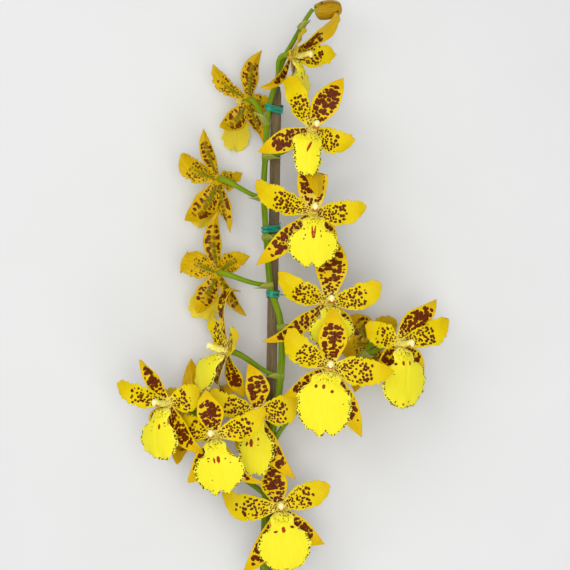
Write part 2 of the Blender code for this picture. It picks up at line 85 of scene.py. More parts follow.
# Half-width of each organ along its length, as (share of length, share of the full half-width)
SEPAL_OUTLINE = ((0, 0.26), (0.2, 0.6), (0.48, 1), (0.72, 0.78), (0.88, 0.42), (1, 0.03))
PETAL_OUTLINE = (
    (0, 0.24), (0.16, 0.5), (0.33, 0.86), (0.5, 0.98), (0.7, 0.98), (0.84, 0.77), (0.93, 0.46), (1, 0.06),
)  # fmt: skip
SHORT_OUTLINE = (
    (0, 0.4), (0.1, 0.85), (0.2, 1), (0.4, 1.02), (0.6, 0.92), (0.78, 0.66), (0.92, 0.3), (1, 0.04),
)  # fmt: skip
USUAL_LIP = (
    (0, 0.12), (0.08, 0.31), (0.16, 0.43), (0.28, 0.44), (0.38, 0.43), (0.44, 0.5), (0.5, 0.69),
    (0.56, 0.86), (0.62, 0.93), (0.72, 1), (0.81, 0.96), (0.87, 0.86), (0.92, 0.72), (0.96, 0.53),
    (1, 0.2),
)  # fmt: skip
NARROW_LIP = (
    (0, 0.2), (0.1, 0.5), (0.2, 0.84), (0.34, 1), (0.5, 1), (0.65, 0.98), (0.8, 0.92), (0.92, 0.72),
    (1, 0.25),
)  # fmt: skip
SQUARE_LIP = (
    (0, 0.12), (0.08, 0.34), (0.16, 0.52), (0.28, 0.55), (0.37, 0.56), (0.43, 0.72), (0.49, 0.89),
    (0.57, 0.98), (0.7, 1), (0.81, 0.97), (0.88, 0.86), (0.94, 0.66), (1, 0.25),
)  # fmt: skip
WIDE_LIP = (
    (0, 0.12), (0.08, 0.34), (0.16, 0.48), (0.3, 0.5), (0.4, 0.56), (0.46, 0.78), (0.52, 1), (0.6, 1.1),
    (0.72, 1.12), (0.81, 1.06), (0.88, 0.92), (0.94, 0.7), (1, 0.3),
)  # fmt: skip
SLIM_LIP = (
    (0, 0.12), (0.1, 0.4), (0.24, 0.48), (0.4, 0.56), (0.56, 0.74), (0.72, 0.8), (0.86, 0.68),
    (0.95, 0.46), (1, 0.14),
)  # fmt: skip


@dataclass
class Bloom:
    """One bloom. Tips are offsets from the centre. via holds a midrib's control point where it isn't the
    usual one, wide an organ's share of the usual width, and twist its turn in degrees from root to tip.
    """

    name: str
    centre: tuple
    facing: tuple
    dorsal: tuple
    petal_left: tuple
    petal_right: tuple
    sepal_left: tuple
    sepal_right: tuple
    lip: tuple
    node: tuple  # where its stalk leaves the stem or a branch
    lip_width: float = LIP_WIDTH
    wide: dict = field(default_factory=dict)
    via: dict = field(default_factory=dict)
    twist: dict = field(default_factory=dict)


BLOOMS = (
    # Front blooms down the right-hand side, from the top
    Bloom(
        "bloom_01", (6.2, 170, 8), (0.93, -0.06, 0.36),
        dorsal=(36, 29, 3), petal_left=(7, 12.5, 21), petal_right=(34, 1, -12),
        sepal_left=(-21.5, -26, 9), sepal_right=(0.5, -18, -18), lip=(9, -33, 2),
        node=(-2.5, 157, 1), wide={"sepal_left": 0.65},
        via={"dorsal": (27, 14, 5), "sepal_left": (-6, -22, 6)},
    ),
    Bloom(
        "bloom_02", (21.6, 114, 28), (0.2, 0.15, 0.97),
        dorsal=(22.5, 37, 2), petal_left=(-16, 38.5, 4), petal_right=(30.5, -8, 6),
        sepal_left=(-39.5, -15.5, -4), sepal_right=(7, -30, -14), lip=(-4, -34.5, 11),
        node=(-12, 97, 0), lip_width=21.0, wide={"petal_left": 0.85},
    ),
    Bloom(
        "bloom_03", (22, 54.5, 30), (0.1, 0.2, 0.97),
        dorsal=(3, 10, 12), petal_left=(-41, 21, 7), petal_right=(38, 4.5, 7),
        sepal_left=(-41, -37.5, -5), sepal_right=(14, -31, -6), lip=(-0.5, -39, 7),
        node=(-12, 38, 0), wide={"sepal_right": 0.85}, via={"dorsal": (-1, 54, -6)},
    ),
    Bloom(
        "bloom_04", (33.5, -9.7, 23), (0.12, 0.15, 0.98),
        dorsal=(-2, 50, -9), petal_left=(-36, 22, 7), petal_right=(37.5, 13, 7),
        sepal_left=(-47, -27, 8), sepal_right=(18, -30, -10), lip=(2, -33, 3),
        node=(-1.5, -28, 0), lip_width=33.0, wide={"sepal_left": 0.8},
        via={"dorsal": (8, 27, 3), "sepal_left": (-30, -16, -8)},
    ),
    Bloom(
        "bloom_05", (33.7, -55.3, 43), (0.02, 0.12, 0.99),
        dorsal=(2.5, 41, 4), petal_left=(-31, 25.5, 7), petal_right=(45.5, -2.5, 4),
        sepal_left=(-33, -21, -8), sepal_right=(23.5, -50.5, -6), lip=(-4.5, -48, 8),
        node=(23, -77, 5), lip_width=38.0,
    ),
    Bloom(
        "bloom_06", (83.5, -38.7, 20), (0.6, -0.05, 0.8),
        dorsal=(29, 31, -4), petal_left=(-24.5, 10.5, 10), petal_right=(38, 15.5, -8),
        sepal_left=(-15, -20, 2), sepal_right=(19, -26, -14), lip=(5, -47, 4),
        node=(60, -47, 6),
    ),
    # Behind bloom 5 and bloom 6, its back to the viewer
    Bloom(
        "bloom_07", (64, -39, -4), (-0.2, 0.0, -0.98),
        dorsal=(-14, 20, 3), petal_left=(-22, -3, 3), petal_right=(20, 16, -12),
        sepal_left=(-11, -37, -3), sepal_right=(14, -30, -10), lip=(3, -27, -31.5),
        node=(57, -49, 6),
    ),
    # The cluster at the lower left
    Bloom(
        "bloom_08", (-19, -89.5, 12), (0.1, 0.1, 1.0),
        dorsal=(-5.5, 36, 1), petal_left=(-33.5, 15.5, 1), petal_right=(30.5, 10, 4),
        sepal_left=(-14, -31, -12), sepal_right=(29, -48, 0), lip=(0, -46, 4),
        node=(-7.8, -108, 0), lip_width=26.0, wide={"dorsal": 0.88}, via={"sepal_right": (13, -24, -4)},
    ),
    Bloom(
        "bloom_09", (-47.7, -103.6, 39), (-0.15, 0.1, 0.98),
        dorsal=(-9.5, 31.5, 3), petal_left=(-24.5, 13, -12), petal_right=(36.5, 18, 6),
        sepal_left=(-20, -35, -6), sepal_right=(35, -35, -4), lip=(5, -41, 7),
        node=(-50, -112, 9),
    ),
    Bloom(
        "bloom_10", (-81.2, -81.2, 30), (-0.6, 0.0, 0.8),
        dorsal=(-22, 30.5, -3), petal_left=(-37.5, 13.5, -6), petal_right=(23, 8.5, 3),
        sepal_left=(-12, -26, -18), sepal_right=(24.5, -36, 12), lip=(-5.5, -40.5, 7),
        node=(-72, -86, 9), lip_width=34.0, wide={"dorsal": 0.78},
    ),
    # Side view, facing left
    Bloom(
        "bloom_11", (-39, -45, 8), (-0.92, 0.2, 0.32),
        dorsal=(9, 45, -3), petal_left=(-14.5, 27, -18), petal_right=(7.5, 11, 22),
        sepal_left=(5, -27, -12), sepal_right=(10.5, -34.5, -4), lip=(-21, -29, -2),
        node=(-1, -63.5, 0), wide={"dorsal": 0.62}, twist={"sepal_right": 60},
        via={"dorsal": (-12, 47, 2), "sepal_left": (-17, -34, -8)},
    ),
    # Behind bloom 9 and bloom 10, its back to the viewer
    Bloom(
        "bloom_12", (-64.4, -89, -6), (-0.1, 0.0, -1.0),
        dorsal=(-3, 37.5, -8), petal_left=(-28, 10, -10), petal_right=(26, 8, -10),
        sepal_left=(-13, -40, 0), sepal_right=(18, -30, -8), lip=(2, -27, -29.5),
        node=(-61, -92, 9),
    ),
    # Blooms down the left-hand side, turned away
    Bloom(
        "bloom_13", (-25.5, 139, -9), (-0.45, 0.0, -0.89),
        dorsal=(10, 37, -1), petal_left=(-25.5, 26, 3), petal_right=(18, -1.5, -12),
        sepal_left=(-21, -20.5, 4), sepal_right=(13.5, -29.5, -10), lip=(-8, -36, -27),
        node=(-11.5, 121, 0), lip_width=23.0, twist={"sepal_right": -95},
        wide={"dorsal": 0.64, "petal_left": 0.7, "petal_right": 0.8, "sepal_right": 0.6},
    ),
    Bloom(
        "bloom_14", (-47, 80, -4), (-0.5, -0.05, -0.86),
        dorsal=(-11.5, 37.5, -2), petal_left=(-27, 18.5, 5), petal_right=(17, 6, -18),
        sepal_left=(-25, -30, 6), sepal_right=(11, -38, -6), lip=(-13, -35, -20),
        node=(-13.2, 66.5, 0), lip_width=24.0, twist={"sepal_right": -95},
        wide={"dorsal": 0.56, "petal_right": 0.85, "sepal_right": 0.65},
    ),
    Bloom(
        "bloom_15", (-47, 11.5, -4), (-0.35, -0.1, -0.93),
        dorsal=(-1, 45, 2), petal_left=(-27, 8.5, 2), petal_right=(23, 12.5, -11),
        sepal_left=(-16, -29.5, 4), sepal_right=(20, -32, -8), lip=(-15, -34, -19),
        node=(-9, 3, 0), lip_width=24.0, wide={"dorsal": 0.7, "sepal_right": 0.55},
    ),
    # The lowest bloom
    Bloom(
        "bloom_16", (-1, -157.5, 15), (0.03, 0.1, 0.99),
        dorsal=(-3, 38, -12), petal_left=(-42.5, 9, 4), petal_right=(35.5, 16, 6),
        sepal_left=(-28.5, -51, -5), sepal_right=(32.5, -28.5, -7), lip=(4.5, -46, 7),
        node=(-12.4, -178, 0), lip_width=38.0, via={"dorsal": (-1.5, 19, -5)},
    ),
)  # fmt: skip

# The main stem from its tip to its cut end: x, y, z and radius
MAIN_STEM = (
    (22.3, 203.5, 6, 1.5), (18, 197.5, 5, 1.6), (13, 189, 4, 1.7), (7.9, 180, 3, 1.8),
    (3.6, 172.5, 2, 1.9), (-0.8, 163, 1, 2.0), (-3, 154, 1, 2.0), (-8, 139.5, 0, 2.0),
    (-10.4, 126, 0, 2.1), (-12.1, 98, 0, 2.1), (-13.2, 80, 0, 2.2), (-13.2, 66, 0, 2.2),
    (-12.1, 46, 0, 2.2), (-11, 32, 0, 2.3), (-9.6, 11, 0, 2.3), (-8.2, -1, 0, 2.4), (-4.4, -12, 0, 2.5),
    (-1.5, -23, 0, 2.5), (0, -44.5, 0, 2.6), (-2.2, -74, 0, 2.7), (-7, -103, 0, 2.8), (-10, -128, 0, 2.9),
    (-11.7, -154, 0, 3.0), (-13.2, -205, 0, 3.0), (-14, -238, 0, 3.0),
)  # fmt: skip

# Side branches, from the main stem outwards
RIGHT_BRANCH = (
    (-9.4, -121, 0), (-2.2, -105, 1), (11, -88.5, 3), (23, -77, 5), (35, -66, 6), (57, -49, 6),
    (62, -46, 6),
)  # fmt: skip
LEFT_BRANCH = (
    (-11.6, -151, 0), (-19, -145, 1), (-27, -139, 3), (-38, -129, 6), (-47, -117, 9), (-55, -103, 9),
    (-61, -92, 9), (-73, -85, 10),
)  # fmt: skip

# Places down the stem where a tie binds it to the stake
TIE_PLACES = (131.5, 43.8, -3.7)

# Chosen marks on single lips: across, along, half width, half length and turn
LIP_MARKS = {
    "bloom_02": ((-1.0, 15.5, 0.9, 4.2, -0.42), (3.4, 7.2, 0.5, 0.8, 0), (-7.0, 21, 0.6, 0.5, 0)),
    "bloom_03": (
        (1.2, 14.9, 0.7, 4.0, 0.05), (-0.7, 14.9, 0.7, 4.0, -0.05), (0.2, 18.4, 1.2, 0.8, 0),
        (6.9, 13.0, 0.7, 0.8, 0), (6.0, 17.2, 0.65, 0.65, 0), (6.9, 20.0, 0.75, 0.6, 0),
        (4.2, 12.4, 0.45, 0.5, 0), (-4.6, 14.2, 0.5, 0.8, 0), (-5.2, 17.5, 0.5, 1.1, 0),
        (-8.9, 14.0, 1.0, 0.5, 0), (-11.0, 24.0, 0.7, 0.45, 0),
    ),
    "bloom_05": (
        (6.4, 14.1, 1.15, 1.3, 0), (1.1, 14.1, 1.2, 1.7, 0), (-5.0, 16.8, 1.4, 1.1, 0.5),
        (17.2, 19.5, 0.5, 0.4, 0), (-13.5, 25.0, 0.6, 0.5, 0),
    ),
    "bloom_06": (
        (8.9, 13.5, 1.3, 1.2, 0.2), (3.1, 13.5, 1.0, 1.9, 0), (-2.7, 13.8, 0.9, 1.5, 0),
        (-8.9, 12.5, 1.7, 0.8, 0.3), (11.0, 21.0, 1.0, 0.5, 0), (2.6, 43.0, 0.8, 0.9, 0),
        (-2.8, 42.0, 0.7, 1.0, 0), (9.0, 41.0, 0.7, 0.8, 0),
    ),
    "bloom_08": (
        (3.9, 21.0, 1.35, 3.2, 0), (7.0, 21.8, 0.85, 1.8, -0.2), (-1.2, 18.2, 0.8, 1.2, 0),
        (-1.0, 22.6, 0.6, 0.6, 0),
    ),
    "bloom_09": (
        (-1.1, 16.8, 1.25, 2.6, 0), (1.9, 17.2, 0.8, 2.0, 0), (6.0, 15.3, 1.1, 0.6, 0),
        (6.3, 17.4, 0.8, 0.6, 0), (-6.0, 16.8, 0.6, 0.7, 0), (-9.0, 20.0, 0.6, 0.6, 0),
        (5.5, 31.0, 0.6, 0.5, 0), (5.5, 38.0, 0.5, 0.6, 0),
    ),
    "bloom_10": (
        (-2.7, 16.5, 0.95, 1.9, 0), (2.9, 13.2, 0.65, 0.9, 0), (4.0, 16.6, 0.6, 0.75, 0),
        (4.4, 19.5, 0.55, 0.5, 0), (-6.2, 13.6, 0.6, 0.8, 0), (-7.2, 15.7, 0.6, 0.6, 0),
    ),
    "bloom_11": ((3.4, 12.5, 0.6, 0.8, 0), (-3.6, 13.4, 0.5, 0.6, 0)),
    "bloom_16": (
        (-0.3, 15.3, 1.5, 2.2, 0.1), (5.3, 16.3, 1.6, 0.8, 0.2), (-6.6, 13.8, 1.5, 1.0, -0.3),
        (4.6, 17.8, 0.5, 0.5, 0),
    ),
}  # fmt: skip


@dataclass
class Organ:
    """How one kind of tepal is shaped and spotted, in millimetres where it isn't a share."""

    outline: tuple
    width: float
    bow: float  # rise of the midrib's control point, as a share of the length
    cup: float  # how far the margins stand forward, as a share of the half-width
    keel: float  # 1 folds the blade along its midrib, 0 rounds it
    lift: float  # how far its root stands in front of the bloom's centre
    rows: int
    columns: int
    slot: int  # which of the two looks it has
    ruffle: float
    recurve: float
    teeth: float
    spacing: tuple  # between spots, at the base and at the tip
    stretch: float  # how much wider than long the spots are
    blotches: int


DORSAL = Organ(
    SEPAL_OUTLINE, DORSAL_WIDTH, 0.10, 0.22, 0.9, -0.5, 54, 22, 0, 0.35, 1.2, 0.15, (1.35, 3.8), 1.4, 7
)
SEPAL = Organ(
    SEPAL_OUTLINE, SEPAL_WIDTH, 0.10, 0.22, 0.9, -0.5, 54, 20, 0, 0.35, 1.6, 0.15, (1.3, 3.8), 1.25, 6
)
PETAL = Organ(PETAL_OUTLINE, PETAL_WIDTH, 0.08, 0.16, 0.2, 0.6, 84, 22, 1, 1.0, 0.6, 2.2, (1.15, 3.7), 1.0, 0)
ORGANS = {
    "dorsal": DORSAL, "sepal_left": SEPAL, "sepal_right": SEPAL, "petal_left": PETAL, "petal_right": PETAL,
}  # fmt: skip


@dataclass
class Own:
    """How a single organ differs from its kind. lean is how far its midrib swings clockwise, seen from the
    bloom's front, in millimetres: near the base and farther out. wide scales the width at these places,
    blunt squares the tip, and hook swings the tip alone. blotch is the blotch's place as a share of the
    length, fade ends the spots sooner, and spots are single ones, as (across, share of length, half width,
    half length).
    """

    lean: tuple
    wide: tuple
    blunt: float = 0.0
    hook: float = 0.0
    blotch: float = 0.56
    fade: float = 1.0
    spots: tuple = ()
    outline: tuple = ()


TUNING = {
    "bloom_01": dict(
        dorsal=Own((0, -1), (0.76, 1), 0.8, blotch=0.36, fade=1.5),
        petal_right=Own((0, -0.5), (1.08, 0.74), -0.3, hook=-1), petal_left=Own((0, 0), (1.1, 1.2), -0.3),
        sepal_left=Own((0, 0.5), (1, 0.9), blotch=0.42, fade=1.25),
    ),
    "bloom_02": dict(
        dorsal=Own((-1.5, -0.6), (0.98, 0.84), blotch=0.62),
        petal_left=Own((-1.5, -1.2), (1, 1), 0.6, hook=-1.2),
        petal_right=Own((2.5, 4.2), (1, 0.92)), sepal_left=Own((0.3, -0.8), (1, 0.92), blotch=0.6),
        sepal_right=Own((3, 4), (0.9, 0.7), hook=4),
    ),
    "bloom_03": dict(
        dorsal=Own((-0.5, 0.5), (1, 1), 0.3, fade=1.18, outline=SHORT_OUTLINE),
        petal_left=Own((-1.4, -3.2), (1, 0.92), 0.3, hook=1.6), petal_right=Own((1.5, 2.6), (1, 0.9), 0.1),
        sepal_left=Own((-0.5, -1.5), (0.95, 0.9)),
    ),
    "bloom_04": dict(
        dorsal=Own((-2, 0), (1.14, 1.1), 0.2), petal_left=Own((-1.6, -4), (1, 0.9)),
        petal_right=Own((1.5, 2.8), (0.95, 0.95), 0.4), sepal_left=Own((-2, -4.5), (1.1, 0.75)),
        sepal_right=Own((0, 0), (0.95, 0.9)),
    ),
    "bloom_05": dict(
        dorsal=Own((0.5, 0.5), (1, 0.95), 0.3), petal_left=Own((-1.5, -3.2), (1, 1), 0.2, hook=2.6),
        petal_right=Own((0.5, 2), (1.22, 0.92), -0.3), sepal_left=Own((-1, -2), (0.95, 0.75)),
        sepal_right=Own((0.5, 0.5), (1, 0.95)),
    ),
    "bloom_06": dict(
        dorsal=Own((-4.5, 0.3), (1.05, 0.8)), petal_left=Own((0.5, -0.5), (1.05, 0.9), 0.2, hook=3),
        petal_right=Own((1, 2.2), (0.92, 0.98), 0.3, hook=-1), sepal_left=Own((0, 0), (1, 0.9)),
    ),
    "bloom_07": dict(
        petal_left=Own((0, 0), (1, 1), 0.2, fade=1.35), petal_right=Own((0, 0), (1, 1), 0.2, fade=1.35),
    ),
    "bloom_08": dict(
        dorsal=Own((2.2, 2.2), (1.06, 0.86), -0.1, blotch=0.46),
        petal_left=Own((-1, -3.2), (0.95, 0.82), 0.3),
        petal_right=Own((2.4, 3), (1.12, 1.08), 0.3, hook=-2.4), sepal_right=Own((1.5, 3.2), (0.92, 0.84)),
    ),
    "bloom_09": dict(
        dorsal=Own((1.4, 1.2), (0.98, 0.85), hook=3.2, blotch=0.46), petal_left=Own((-1, -2.5), (1, 0.8)),
        petal_right=Own((2, 2.8), (1, 0.84), 0.2, hook=-1.4), sepal_left=Own((-2, -2.5), (1, 0.85), 0.2),
        sepal_right=Own((3, 5.5), (0.9, 0.55), 0.2),
    ),
    "bloom_10": dict(
        dorsal=Own((0.8, 1.4), (0.9, 0.68), 0.1, blotch=0.5), petal_left=Own((-1, -1.6), (0.9, 0.8), 0.2),
        petal_right=Own((1, 1.6), (1, 1), 0.3, hook=-2), sepal_right=Own((1.2, 2), (1, 0.95), 0.2),
    ),
    "bloom_11": dict(
        dorsal=Own((0, 0), (1.1, 1.5)), petal_left=Own((0.5, 0.5), (0.95, 0.78), 0.5),
        petal_right=Own((0, 0), (1, 1.1), -0.2), sepal_left=Own((0, 0), (1.5, 1.5), 0.6),
    ),
    "bloom_12": dict(dorsal=Own((0, 0), (0.8, 0.66), fade=2)),
    "bloom_13": dict(
        dorsal=Own((0, 2.6), (1.25, 1)), petal_left=Own((1.6, 3), (1, 0.9), -0.2),
        petal_right=Own((-0.5, -0.5), (1, 0.9)), sepal_left=Own((3, 3.4), (1, 0.95), 0.2),
    ),
    "bloom_14": dict(
        dorsal=Own((0, 0.5), (1, 1)), petal_left=Own((1.5, 3.2), (0.95, 0.88), 0.2),
        petal_right=Own((-1.5, -1.5), (1.1, 0.6), -0.2), sepal_left=Own((3.4, 4), (1.25, 1.1), 0.1),
    ),
    "bloom_15": dict(
        dorsal=Own((1.2, 2), (1, 0.95)), petal_left=Own((-0.5, -1.4), (1, 1), 1),
        petal_right=Own((1, 2), (0.95, 0.62), -0.2), sepal_left=Own((0.5, 0.5), (1, 1), 0.2),
    ),
    "bloom_16": dict(
        dorsal=Own((-2.6, -1.6), (1.12, 0.66), blotch=0.4),
        petal_left=Own(
            (-2.5, -4), (1, 0.95), 0.1, hook=1.6, spots=((0.3, 0.7, 1.3, 1.2), (-3.2, 0.69, 1, 0.9)),
        ),
        petal_right=Own((0, 0), (1, 0.95), 0.2), sepal_left=Own((-2, -2.6), (0.95, 0.88)),
        sepal_right=Own((1.5, 2.6), (0.95, 0.9)),
    ),
}  # fmt: skip

# How single lips lean, and how far they roll, in degrees, round their own length
LIP_LEAN = {
    "bloom_02": (3.0, 1.0), "bloom_05": (1.5, 1.0), "bloom_06": (0.0, 0.8), "bloom_09": (0.0, -1.2),
    "bloom_10": (0.5, 1.4), "bloom_11": (1.4, 2.6), "bloom_13": (-1.5, -3.0),
}  # fmt: skip
LIP_ROLL = {"bloom_11": 14.0}
LIP_FORM = {"bloom_02": NARROW_LIP, "bloom_05": SQUARE_LIP, "bloom_06": WIDE_LIP, "bloom_11": SLIM_LIP}

# The rings of each tie, as (height, slant, distance out), and the places its tail passes, from its middle
TIE_STRANDS = (
    (
        ((-1.3, -1.7, 0.45), (0.3, -1.0, 0.45), (1.6, -1.6, 1.0)),
        ((-6.0, 1.6, 4.6), (-9.4, 2.6, 4.2), (-11.2, 1.2, 2.8), (-10.8, -1.2, 1.8)),
    ),
    (
        ((-1.5, 0.5, 0.45), (0.2, -0.5, 0.45), (1.5, 0.8, 0.6)),
        ((-5.0, 0.8, 3.6), (-2.6, 2.2, 2.8), (-1.2, 4.6, 1.6)),
    ),
    (
        ((-1.5, -0.4, 0.45), (0.2, 0.6, 0.45), (1.4, -0.6, 0.6)),
        ((-1.0, -0.4, 3.4), (4.0, -0.6, 2.6), (8.5, -1.4, 0.5)),
    ),
)


# Geometry helpers


def unit(vector):
    return vector / np.linalg.norm(vector, axis=-1, keepdims=True)


def circle(sides):
    return np.linspace(0, 2 * math.pi, sides, endpoint=False)


def globe(rings, sides, inset=0.02):
    """Angles above and round the middle of a ball, from just short of one pole to just short of the other."""
    lifts = np.linspace(inset - math.pi / 2, math.pi / 2 - inset, rings)
    return np.meshgrid(lifts, circle(sides), indexing="ij")


def moved(places, *moves):
    """Places moved in each direction by each amount."""
    for direction, amount in moves:
        places = places + direction * amount[..., None]
    return places


def turned(sides, faces, angle):
    """Side and face directions, turned by an angle round the line that they stand on."""
    return sides * np.cos(angle) + faces * np.sin(angle), faces * np.cos(angle) - sides * np.sin(angle)


def layers(shape, *values):
    """Three values for each point of a grid. Each is a grid itself or one number for all."""
    return np.dstack([np.broadcast_to(value, shape) for value in values])


def along_outline(outline, share):
    """The half-width at each share of the length, on a smooth curve through the outline's points."""
    at, width = np.array(outline, float).T
    slope = np.gradient(width, at)
    i = np.clip(np.searchsorted(at, share, side="right") - 1, 0, len(at) - 2)
    step = at[i + 1] - at[i]
    s = (share - at[i]) / step
    return (
        (2 * s**3 - 3 * s**2 + 1) * width[i]
        + (s**3 - 2 * s**2 + s) * step * slope[i]
        + (3 * s**2 - 2 * s**3) * width[i + 1]
        + (s**3 - s**2) * step * slope[i + 1]
    )


def smooth(low, high, value):
    """0 at low, 1 at high, and an even ease between them."""
    s = np.clip((value - low) / (high - low), 0, 1)
    return s * s * (3 - 2 * s)


def bump(centre, spread, value):
    """1 at the centre, falling off evenly on both sides."""
    return np.exp(-(((value - centre) / spread) ** 2))


def midrib(root, via, tip, face, shares):
    """Centres, directions and faces of a curved midrib at the given shares. Its face doesn't twist."""
    steps = 240
    every = []
    for t in np.linspace(0, 1, steps + 1):
        along = unit(2 * (1 - t) * (via - root) + 2 * t * (tip - via))
        face = unit(face - along * np.dot(face, along))
        every.append((along, face))
    every = np.array(every)[np.rint(shares * steps).astype(int)]
    t = shares[:, None]
    return (1 - t) ** 2 * root + 2 * t * (1 - t) * via + t**2 * tip, every[:, 0], every[:, 1]


def swing(t, lean):
    """How far sideways a midrib lies at each share of its length, from its two leans."""
    return (6.75 * t * (1 - t) * (lean[0] * (1 - t) + lean[1] * t))[:, None]


def travel(line):
    """How far each point of a line is from its start, along it."""
    return np.concatenate([[0], np.cumsum(np.linalg.norm(np.diff(line, axis=0), axis=1))])


def evenly(line, count):
    """Count points evenly spaced along a line. Columns after the third ride along."""
    way = travel(line[:, :3])
    wanted = np.linspace(0, way[-1], count)
    return np.stack([np.interp(wanted, way, column) for column in line.T], 1)


def through(points, count):
    """A smooth line of count points through a few."""
    points = np.array(points, float)
    padded = np.vstack([2 * points[0] - points[1], points, 2 * points[-1] - points[-2]])
    line = []
    for i in range(1, len(padded) - 2):
        a, b, c, d = padded[i - 1 : i + 3]
        for t in np.linspace(0, 1, 24, endpoint=False):
            bend = (c - a) * t + (2 * a - 5 * b + 4 * c - d) * t**2 + (3 * b - a - 3 * c + d) * t**3
            line.append(0.5 * (2 * b + bend))
    return evenly(np.array([*line, points[-1]]), count)


def distance_to_marks(x, y, marks, blend=0.3):
    """How far outside the nearest oval mark each place lies, in millimetres. Close marks run together.

    A mark is (across, along, half width, half length, turn).
    """
    total = np.full(np.shape(x), 1e-12)
    for across, along, wide, long, turn in marks:
        dx, dy = x - across, y - along
        a = (dx * math.cos(turn) + dy * math.sin(turn)) / wide
        b = (dy * math.cos(turn) - dx * math.sin(turn)) / long
        total += np.exp(-np.clip((np.sqrt(a * a + b * b) - 1) * min(wide, long) / blend, -40, 40))
    return -blend * np.log(total)


def grid_quads(rows, columns, wrap=False):
    """Four-sided faces of a grid of points, with its last column joined to its first where it wraps."""
    r, c = np.meshgrid(np.arange(rows - 1), np.arange(columns if wrap else columns - 1), indexing="ij")
    r, c = r.ravel(), c.ravel()
    after = (c + 1) % columns
    near, far = r * columns, (r + 1) * columns
    return np.stack([near + c, near + after, far + after, far + c], 1)


# What the looks read at each point, and how many numbers each takes
PAINT = {"flat": 3, "cells": 3, "place": 3, "mark": 1, "edge": 1}


class Skin:
    """One piece in the making: points, faces with their material's number, and the values its looks read.

    flat is a place on the organ's own surface in millimetres with a random offset, cells the same
    stretched so that one unit is one spot, and place is (across, along, back or kind). mark is the
    distance in millimetres outside the nearest chosen marking, and edge the distance to the organ's
    margin.
    """

    def __init__(self):
        self.points, self.faces, self.slots = [], [], []
        self.paint = {name: [] for name in PAINT}
        self.count = 0

    def add(self, points, faces, slot, **paint):
        points = points.reshape(-1, 3)
        paint.setdefault("cells", paint["flat"])
        for name, size in PAINT.items():
            self.paint[name].append(paint.get(name, np.full(len(points), FAR)).reshape(len(points), size))
        self.points.append(points)
        self.faces.append(faces + self.count)
        self.slots.append(np.full(len(faces), slot))
        self.count += len(points)

    def add_round(self, points, slot=0, **paint):
        """A grid of points whose last column joins its first."""
        self.add(points, grid_quads(*points.shape[:2], wrap=True), slot, **paint)

    def add_sheet(self, middle, half_thickness, slot, relief=0.0, **paint):
        """A thin blade round its middle surface, with relief on its front alone, closed by a narrow rim."""
        rows, columns = middle.shape[:2]
        normal = unit(np.cross(np.gradient(middle, axis=1), np.gradient(middle, axis=0)) + 1e-12)
        front = middle + normal * (half_thickness + relief)[..., None]
        back = middle - normal * half_thickness[..., None]
        quads = grid_quads(rows, columns)
        size = rows * columns
        order = np.arange(size).reshape(rows, columns)
        ring = np.concatenate([order[0, :-1], order[:-1, -1], order[-1, :0:-1], order[:0:-1, 0]])
        following = np.roll(ring, -1)
        rim = np.stack([ring, ring + size, following + size, following], 1)
        paint = {name: np.concatenate([values.reshape(size, -1)] * 2) for name, values in paint.items()}
        paint["place"][size:, 2] = 1
        quads = np.concatenate([quads, quads[:, ::-1] + size, rim])
        self.add(np.concatenate([front, back]), quads, slot, **paint)

    def add_rod(
        self, path, radii, sides, slot=0, kind=0.0, seed=0.0, ribs=1.0, start_face=(0, 0, 1.0), dome=0.2
    ):
        """A rod along a path with rounded ends and a radius at each point, which ribs scales round it."""
        path = np.array(path, float)
        reach = radii[:, None] * np.ones(sides) * ribs
        along = unit(np.gradient(path, axis=0))
        # Each end closes over three shrinking rings
        first, last = reach[0], reach[-1]
        for close in (0.86, 0.6, 0.002):
            start, end = path[0] - along[0] * radii[0] * dome, path[-1] + along[-1] * radii[-1] * dome
            path = np.vstack([start, path, end])
            reach = np.vstack([first * close, reach, last * close])
            along = np.vstack([along[0], along, along[-1]])
        face = np.array(start_face, float)
        faces = []
        for direction in along:
            face = unit(face - direction * np.dot(face, direction))
            faces.append(face)
        faces = np.array(faces)
        turn = circle(sides)
        points = moved(
            path[:, None], (faces[:, None], reach * np.cos(turn)),
            (np.cross(along, faces)[:, None], reach * np.sin(turn)),
        )  # fmt: skip
        way = travel(path)[:, None]
        flat = layers(reach.shape, reach * turn, way, seed)
        self.add_round(points, slot, flat=flat, place=layers(reach.shape, np.cos(turn), way / way[-1], kind))

    def build(self, name, looks, nodes):
        """The finished object, riding on the part and standing for its CAD nodes."""
        points = np.concatenate(self.points) * MM + MOVE
        faces = np.concatenate(self.faces)
        mesh = bpy.data.meshes.new(name)
        mesh.vertices.add(len(points))
        mesh.vertices.foreach_set("co", points.ravel())
        mesh.loops.add(faces.size)
        mesh.loops.foreach_set("vertex_index", faces.ravel())
        mesh.polygons.add(len(faces))
        mesh.polygons.foreach_set("loop_start", np.arange(len(faces)) * 4)
        for look in looks:
            mesh.materials.append(look)
        mesh.polygons.foreach_set("material_index", np.concatenate(self.slots))
        for key, size in PAINT.items():
            layer = mesh.attributes.new(key, "FLOAT_VECTOR" if size == 3 else "FLOAT", "POINT")
            values = np.concatenate(self.paint[key]).astype(np.float32).ravel()
            layer.data.foreach_set("vector" if size == 3 else "value", values)
        mesh.update(calc_edges=True)
        mesh.shade_smooth()
        made = bpy.data.objects.new(name, mesh)
        bpy.context.scene.collection.objects.link(made)
        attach(made, "root")
        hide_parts(*nodes)


# Blooms


def bloom_axes(bloom):
    """Centre, and the directions right, up and forward of a bloom, from its facing and its lip."""
    centre = np.array(bloom.centre, float)
    forward = unit(np.array(bloom.facing, float))
    lip = np.array(bloom.lip, float)
    up = unit(forward * np.dot(lip, forward) - lip)
    return centre, np.cross(up, forward), up, forward


